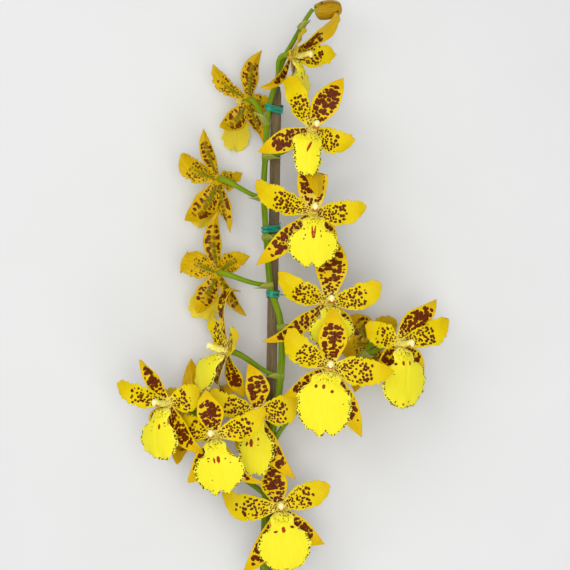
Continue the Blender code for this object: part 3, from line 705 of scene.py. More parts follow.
def notches(rng, shares, depth):
    """Uneven teeth along one margin: small cuts that start at once and heal slowly, in millimetres."""
    cut = np.zeros(len(shares))
    for _ in range(rng.integers(13, 19)):
        start = rng.uniform(0.27, 0.99)
        size = depth * rng.uniform(0.2, 1.0) ** 1.5 * smooth(0.2, 0.4, start)
        away = (shares - start) * rng.choice([-1, 1, 1])
        healing = np.clip(1 - away / rng.uniform(0.03, 0.10), 0, 1)
        cut = np.maximum(cut, np.where(away >= 0, size * healing, 0))
    wave = np.sin(shares * rng.uniform(150, 190) + rng.uniform(0, 6))
    return cut + 0.07 * depth * wave * smooth(0.2, 0.4, shares)


def tepal_marks(organ, own, length, rng):
    """The oval marks that gather into an organ's blotch, and its own single spots."""
    marks = []
    for _ in range(organ.blotches):
        across, share = rng.uniform(-0.45, 0.45) * organ.width / 4, rng.uniform(0.46, 0.68)
        along = own.blotch * length + 0.62 * (share - 0.57) * length
        marks.append((across, along, rng.uniform(1.4, 3.0), rng.uniform(0.55, 1.1), rng.normal(0, 0.3)))
    return marks + [(across, share * length, *size, 0.0) for across, share, *size in own.spots]


def add_tepal(skin, bloom, name, rng):
    """One sepal or petal, with a waved and toothed margin and a furrow down its middle."""
    organ = ORGANS[name]
    lean, wide, blunt = rng.normal(0, 0.9), rng.uniform(0.96, 1.05), rng.uniform(0.0, 0.35)
    own = TUNING.get(bloom.name, {}).get(name) or Own((0.4 * lean, lean), (wide, wide), blunt)
    centre, _, _, forward = bloom_axes(bloom)
    tip = np.array(getattr(bloom, name), float)
    via = np.array(bloom.via.get(name, tip / 2 + forward * organ.bow * np.linalg.norm(tip)), float)
    outward = unit(via - forward * np.dot(via, forward))
    root = centre + outward * 1.2 + forward * organ.lift
    t = np.linspace(0, 1, organ.rows + 1)
    u = np.linspace(-1, 1, organ.columns + 1)
    u = np.sign(u) * (1 - (1 - np.abs(u)) ** 1.15)
    places, alongs, faces = midrib(root, centre + via, centre + tip, forward, t)
    twist = math.radians(bloom.twist.get(name, 0.0)) * t[:, None]
    sides, faces = turned(np.cross(alongs, faces), faces, twist)
    places = places + sides * (swing(t, own.lean) + own.hook * smooth(0.74, 1.05, t)[:, None])
    travelled = travel(places)
    length = travelled[-1]

    near, far = own.wide
    width = organ.width * bloom.wide.get(name, 1.0)
    half = width / 2 * (near + (far - near) * smooth(0.25, 0.75, t))
    half = half * along_outline(own.outline or organ.outline, t)
    half = np.maximum(half + width * 0.2 * own.blunt * bump(0.93, 0.07, t), 0.25)[:, None]
    U, T = np.meshgrid(u, t)
    margin = np.abs(U)
    cuts = np.where(U < 0, *(notches(rng, t, organ.teeth)[:, None] for _ in range(2)))
    x = U * half - np.sign(U) * cuts * margin**6 * smooth(0, 3, half)
    fold = organ.keel * (np.sqrt(U**2 + 0.02) - math.sqrt(0.02)) + (1 - organ.keel) * U**2
    rise = half * organ.cup * fold
    for side in (-1, 1):
        phase, waves = rng.uniform(0, 6.3), rng.uniform(1.6, 2.6)
        turns = 2 * math.pi * waves
        wave = np.sin(turns * T + phase) + 0.35 * np.sin(turns * 2.7 * T + 2 * phase)
        wave = organ.ruffle * wave * np.clip(side * U, 0, 1) ** 2.4
        rise += wave * smooth(0.1, 0.45, T) * smooth(1.04, 0.85, T)
    rise -= organ.recurve * smooth(0.72, 1.0, T) * 1.4
    rise += 0.35 * np.sin(U * 2.2 + rng.uniform(0, 6)) * np.sin(math.pi * T)
    rise -= 0.28 * bump(0, 0.09, U) * smooth(0.0, 0.2, T) * smooth(1.0, 0.8, T)

    seed = rng.uniform(0, ANY_SEED)
    y = travelled[:, None]
    low, high = organ.spacing
    spacing = low + (high - low) * T
    rows_of_spots = length / (high - low) * np.log(spacing / low)
    skin.add_sheet(
        moved(places[:, None], (sides[:, None], x), (faces[:, None], rise)),
        0.16 + 0.22 * (1 - margin**3) * smooth(1.0, 0.9, T) + 0.15 * bump(0, 0.12, U), organ.slot,
        flat=layers(x.shape, x, y, seed), place=layers(x.shape, U, T * own.fade, 0),
        cells=layers(x.shape, x / (spacing * organ.stretch), rows_of_spots, seed),
        mark=distance_to_marks(x, y, tepal_marks(organ, own, length, rng)),
        edge=np.minimum((1 - margin) * half, (1 - T) * length * 0.8),
    )  # fmt: skip


def add_hub(skin, bloom):
    """The small pad behind the column where the five tepals meet."""
    centre, right, up, forward = bloom_axes(bloom)
    lift, turn = globe(13, 24, inset=0.01)
    ring = np.cos(lift) * HUB_RADIUS * (1 + 0.06 * np.cos(5 * turn))
    height = np.sin(lift) * HUB_HALF_HEIGHT
    away = moved(0, (right, ring * np.cos(turn)), (up, ring * np.sin(turn)), (forward, height))
    skin.add_round(centre + away, flat=away, place=layers(ring.shape, np.sin(turn), 0.03, np.sin(lift) < 0.1))


def lip_marks(rng):
    """A red-brown stroke below the lip's neck, and a few dark flecks on both sides of it."""
    stroke = rng.normal(0, 0.8), rng.uniform(13.5, 15.5), rng.uniform(0.75, 1.1), rng.uniform(1.8, 3.2), 0.0
    marks = [stroke]
    for side in (-1, 1):
        for _ in range(rng.integers(2, 5)):
            across = side * rng.uniform(4.0, 7.6)
            size = rng.uniform(0.45, 0.8)
            along, tall = rng.uniform(12, 18), size * rng.uniform(1.0, 1.6)
            marks.append((across, along, size, tall, rng.normal(0, 0.5)))
    return marks


def add_lip(bloom, rng, look):
    """The broad lip: a narrow neck, a raised callus near its base, and a toothed blade that bends down."""
    centre, _, up, forward = bloom_axes(bloom)
    root = centre + up * LIP_ROOT[0] + forward * LIP_ROOT[1]
    via = centre + up * LIP_SHOULDER[0] + forward * LIP_SHOULDER[1]
    rows, columns = 74, 46
    t = np.sin(np.linspace(0, 1.32, rows + 1)) / math.sin(1.32)
    u = np.linspace(-1, 1, columns + 1)
    u = np.sign(u) * (1 - (1 - np.abs(u)) ** 1.25)
    places, alongs, faces = midrib(root, via, centre + np.array(bloom.lip, float), forward, t)
    roll = np.radians(LIP_ROLL.get(bloom.name, 0.0)) * smooth(0, 0.6, t)[:, None]
    sides, faces = turned(np.cross(alongs, faces), faces, roll)
    places = places + sides * swing(t, LIP_LEAN.get(bloom.name, (0, 0)))
    travelled = travel(places)
    half = bloom.lip_width / 2 * along_outline(LIP_FORM.get(bloom.name, USUAL_LIP), t)[:, None]
    U, T = np.meshgrid(u, t)
    margin = np.abs(U)
    round_edge = (travelled + np.cumsum(np.abs(np.gradient(half[:, 0]))))[:, None]
    x = U * half
    for side in (-1, 1):
        phase = rng.uniform(0, 6.3)
        teeth = 0.38 * np.sin(round_edge * 3.3 + phase + 1.4 * np.sin(round_edge * 0.7 + phase))
        teeth = teeth + 0.65 * np.sin(round_edge * 0.62 + 2 * phase) + 0.4 * np.sin(round_edge * 1.4 + phase)
        x += side * teeth * smooth(0.36, 0.5, T) * np.clip(side * U, 0, 1) ** 5
    phase = rng.uniform(0, 6.3)
    lobes = 0.42 * np.sin(x * 2.7 + phase) + 0.7 * np.sin(x * 0.62 + phase)
    lobes -= rng.uniform(1.2, 3.6) * bump(rng.normal(0, 2), 1.7, x)
    rise = -0.16 * half * U**2
    outer = np.clip(margin - 0.35, 0, 1) ** 1.6
    rise += 0.75 * np.sin(T * 17 + phase + np.sign(U) * 0.9) * outer * smooth(0.38, 0.55, T)
    rise += 0.6 * np.sin(x * 0.55 + phase) * smooth(0.8, 1.0, T)
    rise -= 0.35 * bump(0, 0.07, U) * smooth(0.3, 0.45, T) * smooth(0.95, 0.7, T)
    rise += 0.9 * bump(0, 0.55, U) * bump(0.42, 0.12, T)
    moves = (sides, x), (faces, rise), (alongs, lobes * smooth(0.86, 1.0, T))
    ridges = sum(
        bump(at, 0.10, U) * height
        for at, height in ((-0.8, 0.35), (-0.42, 0.8), (0, 1), (0.42, 0.8), (0.8, 0.35))
    )
    y = travelled[:, None]
    mark = distance_to_marks(x, y, LIP_MARKS.get(bloom.name) or lip_marks(rng), blend=0.12)
    skin = Skin()
    skin.add_sheet(
        moved(places[:, None], *((direction[:, None], amount) for direction, amount in moves)),
        0.18 + 0.26 * (1 - margin**3) * smooth(1.0, 0.93, T), 0,
        relief=1.25 * ridges * bump(0.2, 0.085, T), flat=layers(x.shape, x, y, rng.uniform(0, ANY_SEED)),
        place=layers(x.shape, U, T, 0), mark=mark,
        edge=np.minimum((1 - margin) * half, travelled[-1] - y + 0.35 * np.abs(x)),
    )  # fmt: skip
    skin.build(bloom.name + "_labellum", [look], [bloom.name + "_lip"])


def add_column(bloom, rng, look):
    """The club-shaped column, hollowed towards the lip, with two small wings and the anther cap."""
    centre, right, up, forward = bloom_axes(bloom)
    start = centre + forward * (HUB_HALF_HEIGHT - 0.6)
    end = centre + forward * (HUB_HALF_HEIGHT + COLUMN_LENGTH - 1.3) + up * 1.5
    axis = unit(end - start)
    top = unit(up - axis * np.dot(up, axis))
    S, A = np.meshgrid(np.linspace(0, 1, 38), circle(34), indexing="ij")
    under = np.angle(np.exp(1j * (A - math.pi)))
    radius = COLUMN_RADIUS * (0.80 + 0.16 * smooth(0.0, 0.4, S) + 0.07 * bump(0.72, 0.15, S))
    radius *= np.sqrt(1 - 0.97 * smooth(0.84, 1.0, S) ** 1.5)
    hollow = 0.60 * bump(0, 0.8, under) * bump(0.80, 0.17, S)
    radius *= 1 - hollow - 0.14 * bump(0, 0.9, under) * bump(0.4, 0.3, S)
    for side in (-1, 1):
        radius += 1.2 * bump(side * 1.02, 0.26, under) * bump(0.78, 0.13, S)
        radius += 0.5 * bump(side * 0.95, 0.3, under) * bump(0.16, 0.14, S)
    across = radius * np.cos(A) - 1.1 * np.sin(math.pi * S)
    skin = Skin()
    skin.add_round(
        moved(start, (end - start, S), (top, across), (-right, radius * np.sin(A))),
        flat=layers(S.shape, A * 2, S * COLUMN_LENGTH, rng.uniform(0, ANY_SEED)),
        place=layers(S.shape, np.cos(under), S, 0),
    )

    L, A = globe(20, 28)
    swell = np.cos(L) * (1 + 0.10 * np.cos(2 * A)) * (1 - 0.10 * bump(0, 0.22, np.abs(A) - math.pi / 2))
    beak = 0.55 * bump(0, 0.5, np.abs(A) - math.pi) * np.cos(L)
    across = 2.15 * swell * np.cos(A) - beak
    seat = end - axis * 0.7 - top * 0.35
    skin.add_round(
        moved(seat, (top, across), (-right, 2.2 * swell * np.sin(A)), (axis, 1.75 * np.sin(L))),
        flat=layers(L.shape, A * 2, L * 2, rng.uniform(0, ANY_SEED)),
        place=layers(L.shape, np.cos(A), (np.sin(L) + 1) / 2, 1),
    )
    skin.build(bloom.name + "_column_and_cap", [look], [bloom.name + "_column"])


def add_bloom(bloom, looks):
    rng = np.random.default_rng(int(bloom.name[-2:]) * 7 + 3)
    skin = Skin()
    for name in ORGANS:
        add_tepal(skin, bloom, name, rng)
    add_hub(skin, bloom)
    tissues = [looks["sepal"], looks["petal"]]
    skin.build(bloom.name + "_sepals_and_petals", tissues, [bloom.name + "_tepals"])
    add_lip(bloom, rng, looks["lip"])
    add_column(bloom, rng, looks["column"])


# Stem, bud, stake and ties


def stalk_line(bloom, count):
    """A bloom's stalk from its node to its hub's back, its first direction, and the bloom's forward one."""
    centre, _, _, forward = bloom_axes(bloom)
    node = np.array(bloom.node, float)
    seat = centre - forward * (HUB_HALF_HEIGHT + GAP)
    reach = np.linalg.norm(seat - node)
    before = seat - forward * min(13.0, 0.5 * reach)
    outward = unit(before - node + np.array((0, -0.35 * reach, 0)))
    bend = node + outward * 0.35 * reach
    t = np.linspace(0, 1, count)[:, None]
    line = (1 - t) ** 3 * node + 3 * t * (1 - t) ** 2 * bend + 3 * t**2 * (1 - t) * before + t**3 * seat
    return line, outward, forward


def add_pedicel(skin, bloom, rng):
    """A bloom's stalk. Its last third is the ribbed ovary, which widens into the back of the bloom."""
    line, _, forward = stalk_line(bloom, 60)
    line = np.vstack([line, line[-1] + forward * 1.6])
    share = np.linspace(0, 1, len(line))
    radii = PEDICEL_RADIUS * (1 + 0.25 * bump(0, 0.08, share))
    radii += (OVARY_RADIUS + 0.35 - PEDICEL_RADIUS) * smooth(0.35, 0.9, share)
    sides = 20
    turn = circle(sides)
    ovary = smooth(0.5, 0.75, share)[:, None]
    ribs = 1 - 0.10 * ovary * (0.5 + 0.5 * np.cos(3 * turn + rng.uniform(0, 6)))
    ribs -= 0.05 * ovary * (0.5 + 0.5 * np.cos(6 * turn))
    skin.add_rod(line, radii, sides, kind=2.0, seed=rng.uniform(0, ANY_SEED), ribs=ribs)


def add_bract(skin, stalk, length, rng):
    """A pointed bract that wraps the start of a stalk from below."""
    t = np.linspace(0, 1, 27)
    way = travel(stalk)
    places = np.stack([np.interp(t * (length + 2), way, column) for column in stalk.T], 1)
    along = unit(np.gradient(places, axis=0))
    under = np.array((0, -1.0, 0.15)) * np.ones((len(t), 1))
    under = unit(under - along * np.sum(under * along, axis=1)[:, None])
    U, T = np.meshgrid(np.linspace(-1, 1, 17), t)
    spread = math.radians(155) * (1 - smooth(0.1, 1.05, T) ** 1.1) + 0.05
    radius = PEDICEL_RADIUS * 1.3 + 0.35 + 0.9 * smooth(0.55, 1.0, T)
    radius += 0.1 * np.sin(T * 9 + rng.uniform(0, 6))
    skin.add_sheet(
        moved(
            places[:, None], (under[:, None], np.cos(spread * U) * radius),
            (np.cross(along, under)[:, None], np.sin(spread * U) * radius),
        ),
        0.14 + 0.2 * (1 - U**2) * (1 - 0.6 * T), 1,
        flat=layers(U.shape, U * spread * radius, T * length, rng.uniform(0, ANY_SEED)),
        place=layers(U.shape, U, T, 0), edge=(1 - np.abs(U)) * spread * radius,
    )  # fmt: skip


def add_stem(looks):
    """The green stem: main stem with its joints, side branches, stalks, ovaries and bracts."""
    rng = np.random.default_rng(11)
    skin = Skin()
    nodes = [bloom.node for bloom in BLOOMS if abs(bloom.node[2]) < 1.5]
    sides = 28
    turn = circle(sides)
    for line, count in ((MAIN_STEM, 560), (RIGHT_BRANCH, 130), (LEFT_BRANCH, 140)):
        main, line = line is MAIN_STEM, np.array(line, float)
        if not main:
            line = np.column_stack([line, np.linspace(BRANCH_RADIUS, PEDICEL_RADIUS, len(line))])
        line = through(line, count)
        radii = line[:, 3]
        way = travel(line[:, :3])
        for node in nodes if main else ():
            at = way[np.argmin(np.linalg.norm(line[:, :3] - node, axis=1))] + 1.5
            radii = radii + 0.38 * bump(at, 2.0, way) - 0.16 * bump(at + 3.2, 0.8, way)
        ribs = 1 + 0.012 * np.sin(9 * turn + way[:, None] * 0.05)
        ribs += 0.01 * np.sin(5 * turn - way[:, None] * 0.11)
        skin.add_rod(line[:, :3], radii, sides, seed=rng.uniform(0, ANY_SEED), ribs=ribs, dome=0.08)
    for bloom in BLOOMS:
        add_pedicel(skin, bloom, rng)
        if bloom.name != "bloom_01":
            stalk, outward, _ = stalk_line(bloom, 200)
            stalk = np.vstack([stalk[0] - outward * 2, stalk])
            add_bract(skin, stalk, BRACT_LENGTH if abs(bloom.node[2]) < 1 else BRACT_LENGTH / 2, rng)
    add_bract(skin, through(np.array(MAIN_STEM, float)[2::-1, :3], 60), TIP_BRACT_LENGTH, rng)
    skin.build("spray_stem_and_stalks", [looks["stem"], looks["bract"]], ["stem"])


def add_bud(look):
    """The unopened bud: three sepals that fold over each other, furrows between them and a short beak."""
    tip = np.array(MAIN_STEM[0][:3], float)
    axis = unit(unit(tip - np.array(MAIN_STEM[1][:3], float)) + np.array((1.0, -0.55, 0.1)))
    side = unit(np.cross(axis, (0, 0, 1.0)))
    top = np.cross(axis, side)
    L, A = globe(64, 96)
    share = (np.sin(L) + 1) / 2
    lap = (A * 3 / (2 * math.pi) + 0.12 * np.sin(share * 3)) % 1
    seam = bump(0, 0.045, np.minimum(lap, 1 - lap)) * smooth(0.1, 0.3, share)
    swell = BUD_RADIUS * 1.06 * (1 - 0.16 * share**3) * (1 - 0.05 * (1 + np.cos(3 * A)) / 2)
    swell = swell * (1 + 0.05 * (lap - 0.5) * smooth(0.1, 0.4, share))
    swell = swell - 0.55 * seam + 0.12 * bump(0.5, 0.06, lap)
    swell = swell * np.cos(L) ** 0.5
    droop = np.array((0, -BUD_DROOP, 0)), smooth(-0.1, 0.16, share)
    x, y = A * BUD_RADIUS, share * BUD_LENGTH
    mark = distance_to_marks(x, y, [(turn * BUD_RADIUS, *rest) for turn, *rest in BUD_MARKS])
    skin = Skin()
    skin.add_round(
        moved(tip + axis * BUD_SEAT, droop, (side, np.cos(A) * swell), (top, np.sin(A) * swell), (axis, y)),
        flat=layers(A.shape, x, y, 12.0), place=layers(A.shape, seam, share, 0), mark=mark,
    )
    skin.build("unopened_bud", [look], ["bud"])


def add_stake(look):
    """The square stake: rounded edges, grooves along its grain, a few cracks and a weathered top end."""
    rng = np.random.default_rng(5)
    count, sides = 260, 56
    path = np.linspace(STAKE_FOOT, STAKE_TOP, count)
    way = travel(path)[:, None]
    turn = circle(sides)
    half = STAKE_WIDTH / 2
    square = half * (np.abs(np.cos(turn)) ** 7 + np.abs(np.sin(turn)) ** 7) ** (-1 / 7)
    reach = square * np.ones((count, 1))
    for _ in range(26):
        at, drift = rng.uniform(0, 2 * math.pi), rng.normal(0, 0.0006)
        apart = np.angle(np.exp(1j * (turn - at - drift * way - 0.02 * np.sin(way * 0.03))))
        start, stop = np.sort(rng.uniform(-60, 450, 2))
        along = smooth(start, start + 25, way) * smooth(stop + 25, stop, way)
        reach -= rng.uniform(0.05, 0.28) * bump(0, rng.uniform(0.05, 0.09), apart) * along
    reach += 0.05 * np.sin(way * 0.21 + 3 * turn) + 0.03 * np.sin(way * 0.53 + 5 * turn)
    reach = np.minimum(reach, square + 0.06)
    reach *= 1 - 0.3 * smooth(way[-1] - 7, way[-1] + 1, way)
    skin = Skin()
    skin.add_rod(
        path, np.full(count, half), sides, seed=31.0, ribs=reach / half, start_face=(1.0, 0, 0), dome=0.04
    )
    skin.build("weathered_stake", [look], ["stake"])


def belt_path(y, margin, count):
    """Places evenly round the stem and the stake at a height, held at a margin from both, in x and z."""
    stem = np.array(MAIN_STEM, float)[::-1]
    stem_x, stem_z, stem_radius = (np.interp(y, stem[:, 1], stem[:, i]) for i in (0, 2, 3))
    top, foot = np.array(STAKE_TOP), np.array(STAKE_FOOT)
    stake_x, _, stake_z = top + (foot - top) * (y - top[1]) / (foot[1] - top[1])
    corner = STAKE_WIDTH / 2 - STAKE_CORNER
    posts = [(stem_x, stem_z, stem_radius)]
    posts += [(stake_x + x, stake_z + z, STAKE_CORNER) for x in (-corner, corner) for z in (-corner, corner)]
    ways = np.stack([np.cos(circle(48)), np.sin(circle(48))], 1)
    points = np.concatenate([(x, z) + (radius + margin) * ways for x, z, radius in posts])
    middle = points.mean(axis=0)
    # The belt is as far out as any of the points in each direction
    turns = circle(720)
    normals = np.stack([np.cos(turns), np.sin(turns)], 1)
    support = ((points - middle) @ normals.T).max(axis=0)
    slope = np.gradient(np.concatenate([support[-1:], support, support[:1]]), turns[1])[1:-1]
    tangents = np.stack([-normals[:, 1], normals[:, 0]], 1)
    outline = middle + normals * support[:, None] + tangents * slope[:, None]
    return evenly(np.vstack([outline, outline[:1]]), count)


def add_strand(skin, line, size, rng, start_face=(0, 1.0, 0)):
    """A flat plastic strand of a width and thickness along a line, its edges rolled."""
    wide, thick = size
    sides = 14
    turn = circle(sides)
    shape = 1 / np.hypot(np.cos(turn), np.sin(turn) * wide / thick)
    radii = np.full(len(line), wide / 2)
    skin.add_rod(line, radii, sides, seed=rng.uniform(0, ANY_SEED), ribs=shape, start_face=start_face)


def add_tie(number, y, rings, tail, look):
    """Plastic strands wound round the stem and the stake, crossed over in front, with a cut tail."""
    rng = np.random.default_rng(40 + number)
    skin = Skin()
    for ring_number, (offset, slant, margin) in enumerate(rings):
        x, z = belt_path(y, GAP + margin, 120).T
        middle, reach = (x.min() + x.max()) / 2, (x.max() - x.min()) / 2
        height = y + offset + slant * (x - middle) / reach * np.sign(z - z.mean())
        height = height + 0.12 * np.sin(np.linspace(0, 1, len(x)) * 19 + ring_number * 2)
        line = np.column_stack([x, height, z])
        for _ in range(6):
            line[1:-1] = (line[:-2] + 2 * line[1:-1] + line[2:]) / 4
        add_strand(skin, line, WOUND_STRAND, rng)
    add_strand(skin, through(np.array(tail) + (0, y, 0), 26), TAIL_STRAND, rng, start_face=(0, 0.6, 1.0))
    skin.build(f"wound_tie_{number}", [look], [f"tie_{number}"])


# Looks


def shade(red, green, blue):
    """A colour given as on a screen, 0 to 255, in the renderer's linear values."""
    shares = (level / 255 for level in (red, green, blue))
    return *(s / 12.92 if s <= 0.04045 else ((s + 0.055) / 1.055) ** 2.4 for s in shares), 1.0


class Wire:
    """One output of a material's node. Sums, products, easings and mixes of wires are made by nodes too."""

    def __init__(self, look, socket):
        self.look, self.socket = look, socket

    def math(self, operation, *others):
        return self.look.node("Math", dict(enumerate((self, *others))), operation=operation)[0]

    def __add__(self, other):
        return self.math("ADD", other)

    def __sub__(self, other):
        return self.math("SUBTRACT", other)

    def __mul__(self, other):
        return self.math("MULTIPLY", other)

    def __abs__(self):
        return self.math("ABSOLUTE")

    def ease(self, low, high, start=0.0, end=1.0):
        """start where the value is low, end where it is high, and an even ease between them."""
        inputs = {"Value": self, "From Min": low, "From Max": high, "To Min": start, "To Max": end}
        return self.look.node("MapRange", inputs, interpolation_type="SMOOTHSTEP")[0]

    def mix(self, first, second):
        """The first colour where this is 0, and the second where it is 1."""
        first, second = (shade(*end) if isinstance(end, tuple) else end for end in (first, second))
        return self.look.node("Mix", {0: self, 6: first, 7: second}, data_type="RGBA")[2]

    def stretch(self, *by):
        return self.look.node("VectorMath", {0: self, 1: by}, operation="MULTIPLY")[0]

    def split(self):
        return self.look.node("SeparateXYZ", {0: self})

    def noise(self, scale=1.0, detail=3.0, rough=0.55):
        inputs = {"Vector": self, "Scale": scale, "Detail": detail, "Roughness": rough}
        return self.look.node("TexNoise", inputs)[0]

    def spots(self, randomness=0.85):
        """Distance to the nearest of scattered centres, and two random numbers for each centre."""
        x, y, seed = self.split()
        place = self.look.node("CombineXYZ", {0: x + seed * 13.7, 1: y + seed * 7.3})[0]
        inputs = {"Vector": place, "Scale": 1.0, "Randomness": randomness}
        near, colour, *_ = self.look.node("TexVoronoi", inputs, voronoi_dimensions="2D")
        return near, *colour.split()[:2]


class Look:
    """A material in the making."""

    def __init__(self, name, roughness, **values):
        self.made = bpy.data.materials.new(name)
        self.made.use_nodes = True
        self.tree = self.made.node_tree
        self.shader = self.tree.nodes["Principled BSDF"]
        for socket, value in {"Roughness": roughness, **values}.items():
            self.shader.inputs[socket.replace("_", " ")].default_value = value

    def node(self, kind, inputs, **settings):
        """A new node's outputs. Its inputs are wires or plain values."""
        made = self.tree.nodes.new("ShaderNode" + kind)
        for setting, value in settings.items():
            setattr(made, setting, value)
        for socket, value in inputs.items():
            if isinstance(value, Wire):
                self.tree.links.new(value.socket, made.inputs[socket])
            else:
                made.inputs[socket].default_value = value
        return [Wire(self, socket) for socket in made.outputs]

    def value(self, name):
        return self.node("Attribute", {}, attribute_name=name)[2]

    def vector(self, name):
        return self.node("Attribute", {}, attribute_name=name)[1]

    def finish(self, colour, roughness=None, height=None, strength=0.3, distance=0.0004):
        wires = {"Base Color": colour, "Roughness": roughness}
        if height:
            inputs = {"Height": height, "Strength": strength, "Distance": distance}
            wires["Normal"] = self.node("Bump", inputs)[0]
        for socket, wire in wires.items():
            if wire:
                self.tree.links.new(wire.socket, self.shader.inputs[socket])
        return self.made


SOFT_TISSUE = {
    "Subsurface_Weight": 0.14,
    "Subsurface_Radius": (1.0, 0.6, 0.15),
    "Subsurface_Scale": 0.0012,
    "Specular_IOR_Level": 0.08,
}


def tepal_look(name, gold, tip, dull, last_spot, fill, merge):
    """Yellow tissue with maroon spots that grow away from its base; duller on its back."""
    look = Look(name, 0.42, **SOFT_TISSUE)
    flat = look.vector("flat")
    across, along, back = look.vector("place").split()
    aside = abs(across)

    # The spots: a random radius for each, none near the margin or past the last one, and wavy outlines
    wobble = flat.noise(0.9, 2.0)
    near, chance, grow = look.vector("cells").spots()
    limit = grow * 0.10 - aside * aside * 0.10 + last_spot
    radius = (grow * 0.16 + along * merge + fill) * chance.ease(0.10, 0.16) * aside.ease(0.93, 0.72)
    radius *= (along - limit).ease(0.03, -0.02) * along.ease(0.015, 0.05, 0.4, 1.0)
    inside = near + wobble * 0.22 - radius - 0.11
    blotched = (look.value("mark") + wobble * 1.4 - 0.7).ease(0.18, -0.18)
    marked = inside.ease(0.05, -0.05).math("MAXIMUM", blotched)

    # The ground: cream at the base, gold beyond, deeper at the tip, with fine lengthwise veins
    veins = flat.stretch(1.9, 0.10, 1.0).noise()
    ground = along.ease(0.05, 0.24).mix((236, 214, 84), gold)
    ground = (along + flat.noise(0.16, 2.0) * 0.3).ease(0.75, 1.15).mix(ground, tip)
    ground = veins.ease(0.45, 0.75, 0.0, 0.28).mix(ground, tip)
    front = marked.mix(ground, wobble.ease(0.35, 0.65).mix((84, 30, 4), (114, 47, 7)))

    # The back: duller, with the spots showing through and olive green round the midrib
    seen = inside.ease(-0.05, -0.13) * aside.ease(0.15, 0.45, 0.6, 0.97)
    behind = seen.mix(veins.ease(0.35, 0.75, 0.0, 0.5).mix(dull, (150, 112, 5)), (92, 40, 6))
    behind = (aside.ease(0.42, 0.06) * along.ease(0.75, 0.2) * 0.8).mix(behind, (92, 100, 6))

    height = veins * 0.7 + flat.noise(5.0, 2.0) * 0.25 + marked * 0.25
    colour = back.ease(0.4, 0.6).mix(front, behind)
    return look.finish(colour, veins.ease(0.3, 0.7, 0.36, 0.5), height, 0.35, 0.0003)


def lip_look():
    """Lemon yellow, creamy on the callus, with chosen marks, small dark dots and a painted highlight along
    the margin.
    """
    look = Look("lemon_lip", 0.45, **SOFT_TISSUE)
    flat = look.vector("flat")
    across, along, back = look.vector("place").split()
    edge = look.value("edge")
    wobble = flat.noise(1.1, 2.0)
    veins = flat.stretch(1.5, 0.14, 1.0).noise()
    lemon = veins.ease(0.35, 0.8, 0.0, 0.45).mix((241, 228, 44), (233, 213, 18))
    # Painted highlight: paler lemon along the margin
    lemon = edge.ease(3.0, 0.0, 0.0, 0.45).mix(lemon, (246, 236, 84))
    ground = along.ease(0.24, 0.08).mix(lemon, (248, 234, 112))
    # Specks on the callus
    near, chance, grow = flat.stretch(1.15, 0.40, 1.0).spots()
    speck = (near - grow * 0.16 + wobble * 0.1).ease(0.30, 0.23) * along.ease(0.40, 0.28)
    speck *= abs(across).ease(0.85, 0.6) * chance.ease(0.46, 0.50) * 0.9
    # Dots along the margin, on the front alone
    near, chance, grow = flat.stretch(0.70, 0.70, 1.0).spots(0.8)
    band = edge.ease(0.12, 0.35) * edge.ease(2.3, 1.5) * along.ease(0.42, 0.5)
    dot = (near - grow * 0.16).ease(0.38, 0.31) * band * chance.ease(0.20, 0.24) * back.ease(0.6, 0.4)
    # Chosen marks, redder in the middle
    marked = (look.value("mark") + wobble * 0.9 - 0.45).ease(0.14, -0.14)
    brown = abs(flat.split()[0]).ease(5.6, 3.8).mix((122, 48, 10), (162, 50, 10))
    colour = marked.mix(speck.math("MAXIMUM", dot).mix(ground, (64, 34, 8)), brown)
    colour = back.ease(0.4, 0.6, 0.0, 0.6).mix(colour, (240, 208, 64))
    height = veins * 0.35 + flat.noise(4.0, 2.0) * 0.3 + dot * 0.2
    return look.finish(colour, veins.ease(0.3, 0.7, 0.38, 0.52), height, 0.3, 0.0003)


def column_look():
    """Cream column, specked at its base, with a paler waxy cap; orange-brown in its hollow, partly painted
    shade.
    """
    look = Look("waxy_column", 0.3, **SOFT_TISSUE)
    flat = look.vector("flat")
    under, along, cap = look.vector("place").split()
    wobble = flat.noise(0.8)
    # The hollow's orange-brown is partly the stigma's own colour and partly painted shade of the recess
    hollow = under.ease(0.25, 0.8) * along.ease(0.5, 0.66) * along.ease(0.97, 0.86)
    colour = hollow.mix(wobble.ease(0.35, 0.7).mix((246, 236, 128), (236, 222, 84)), (198, 120, 34))
    near, chance, _ = flat.stretch(0.8, 0.8, 1.0).spots()
    speck = near.ease(0.36, 0.28) * chance.ease(0.55, 0.6) * along.ease(0.5, 0.2) * 0.85
    colour = speck.mix(colour, (140, 62, 20))
    colour = cap.ease(0.4, 0.6).mix(colour, wobble.ease(0.4, 0.8).mix((252, 240, 176), (248, 226, 140)))
    return look.finish(colour, wobble.ease(0.3, 0.7, 0.24, 0.38), flat.noise(2.2), 0.2, 0.0003)


def stem_look():
    """Smooth green skin with faint lengthwise streaks, darker clouds, and yellower stalks and ovaries."""
    look = Look("green_stem", 0.38, **SOFT_TISSUE)
    flat = look.vector("flat")
    _, along, kind = look.vector("place").split()
    streaks = flat.stretch(1.4, 0.05, 1.0).noise(1.0, 4.0)
    cloud = flat.stretch(0.2, 0.035, 1.0).noise()
    green = streaks.ease(0.3, 0.7).mix((98, 126, 10), (134, 158, 26))
    green = cloud.ease(0.45, 0.75, 0.0, 0.7).mix(green, (80, 104, 8))
    stalk = along.ease(0.35, 0.85).mix((104, 138, 12), (122, 144, 14))
    stalk = streaks.ease(0.3, 0.7, 0.0, 0.5).mix(stalk, (146, 164, 30))
    colour = kind.ease(0.9, 1.1).mix(green, stalk)
    colour = flat.noise(1.6, 2.0).ease(0.66, 0.72, 0.0, 0.5).mix(colour, (98, 88, 30))
    return look.finish(colour, cloud.ease(0.3, 0.7, 0.3, 0.46), streaks + flat.noise(2.5) * 0.2, 0.35)


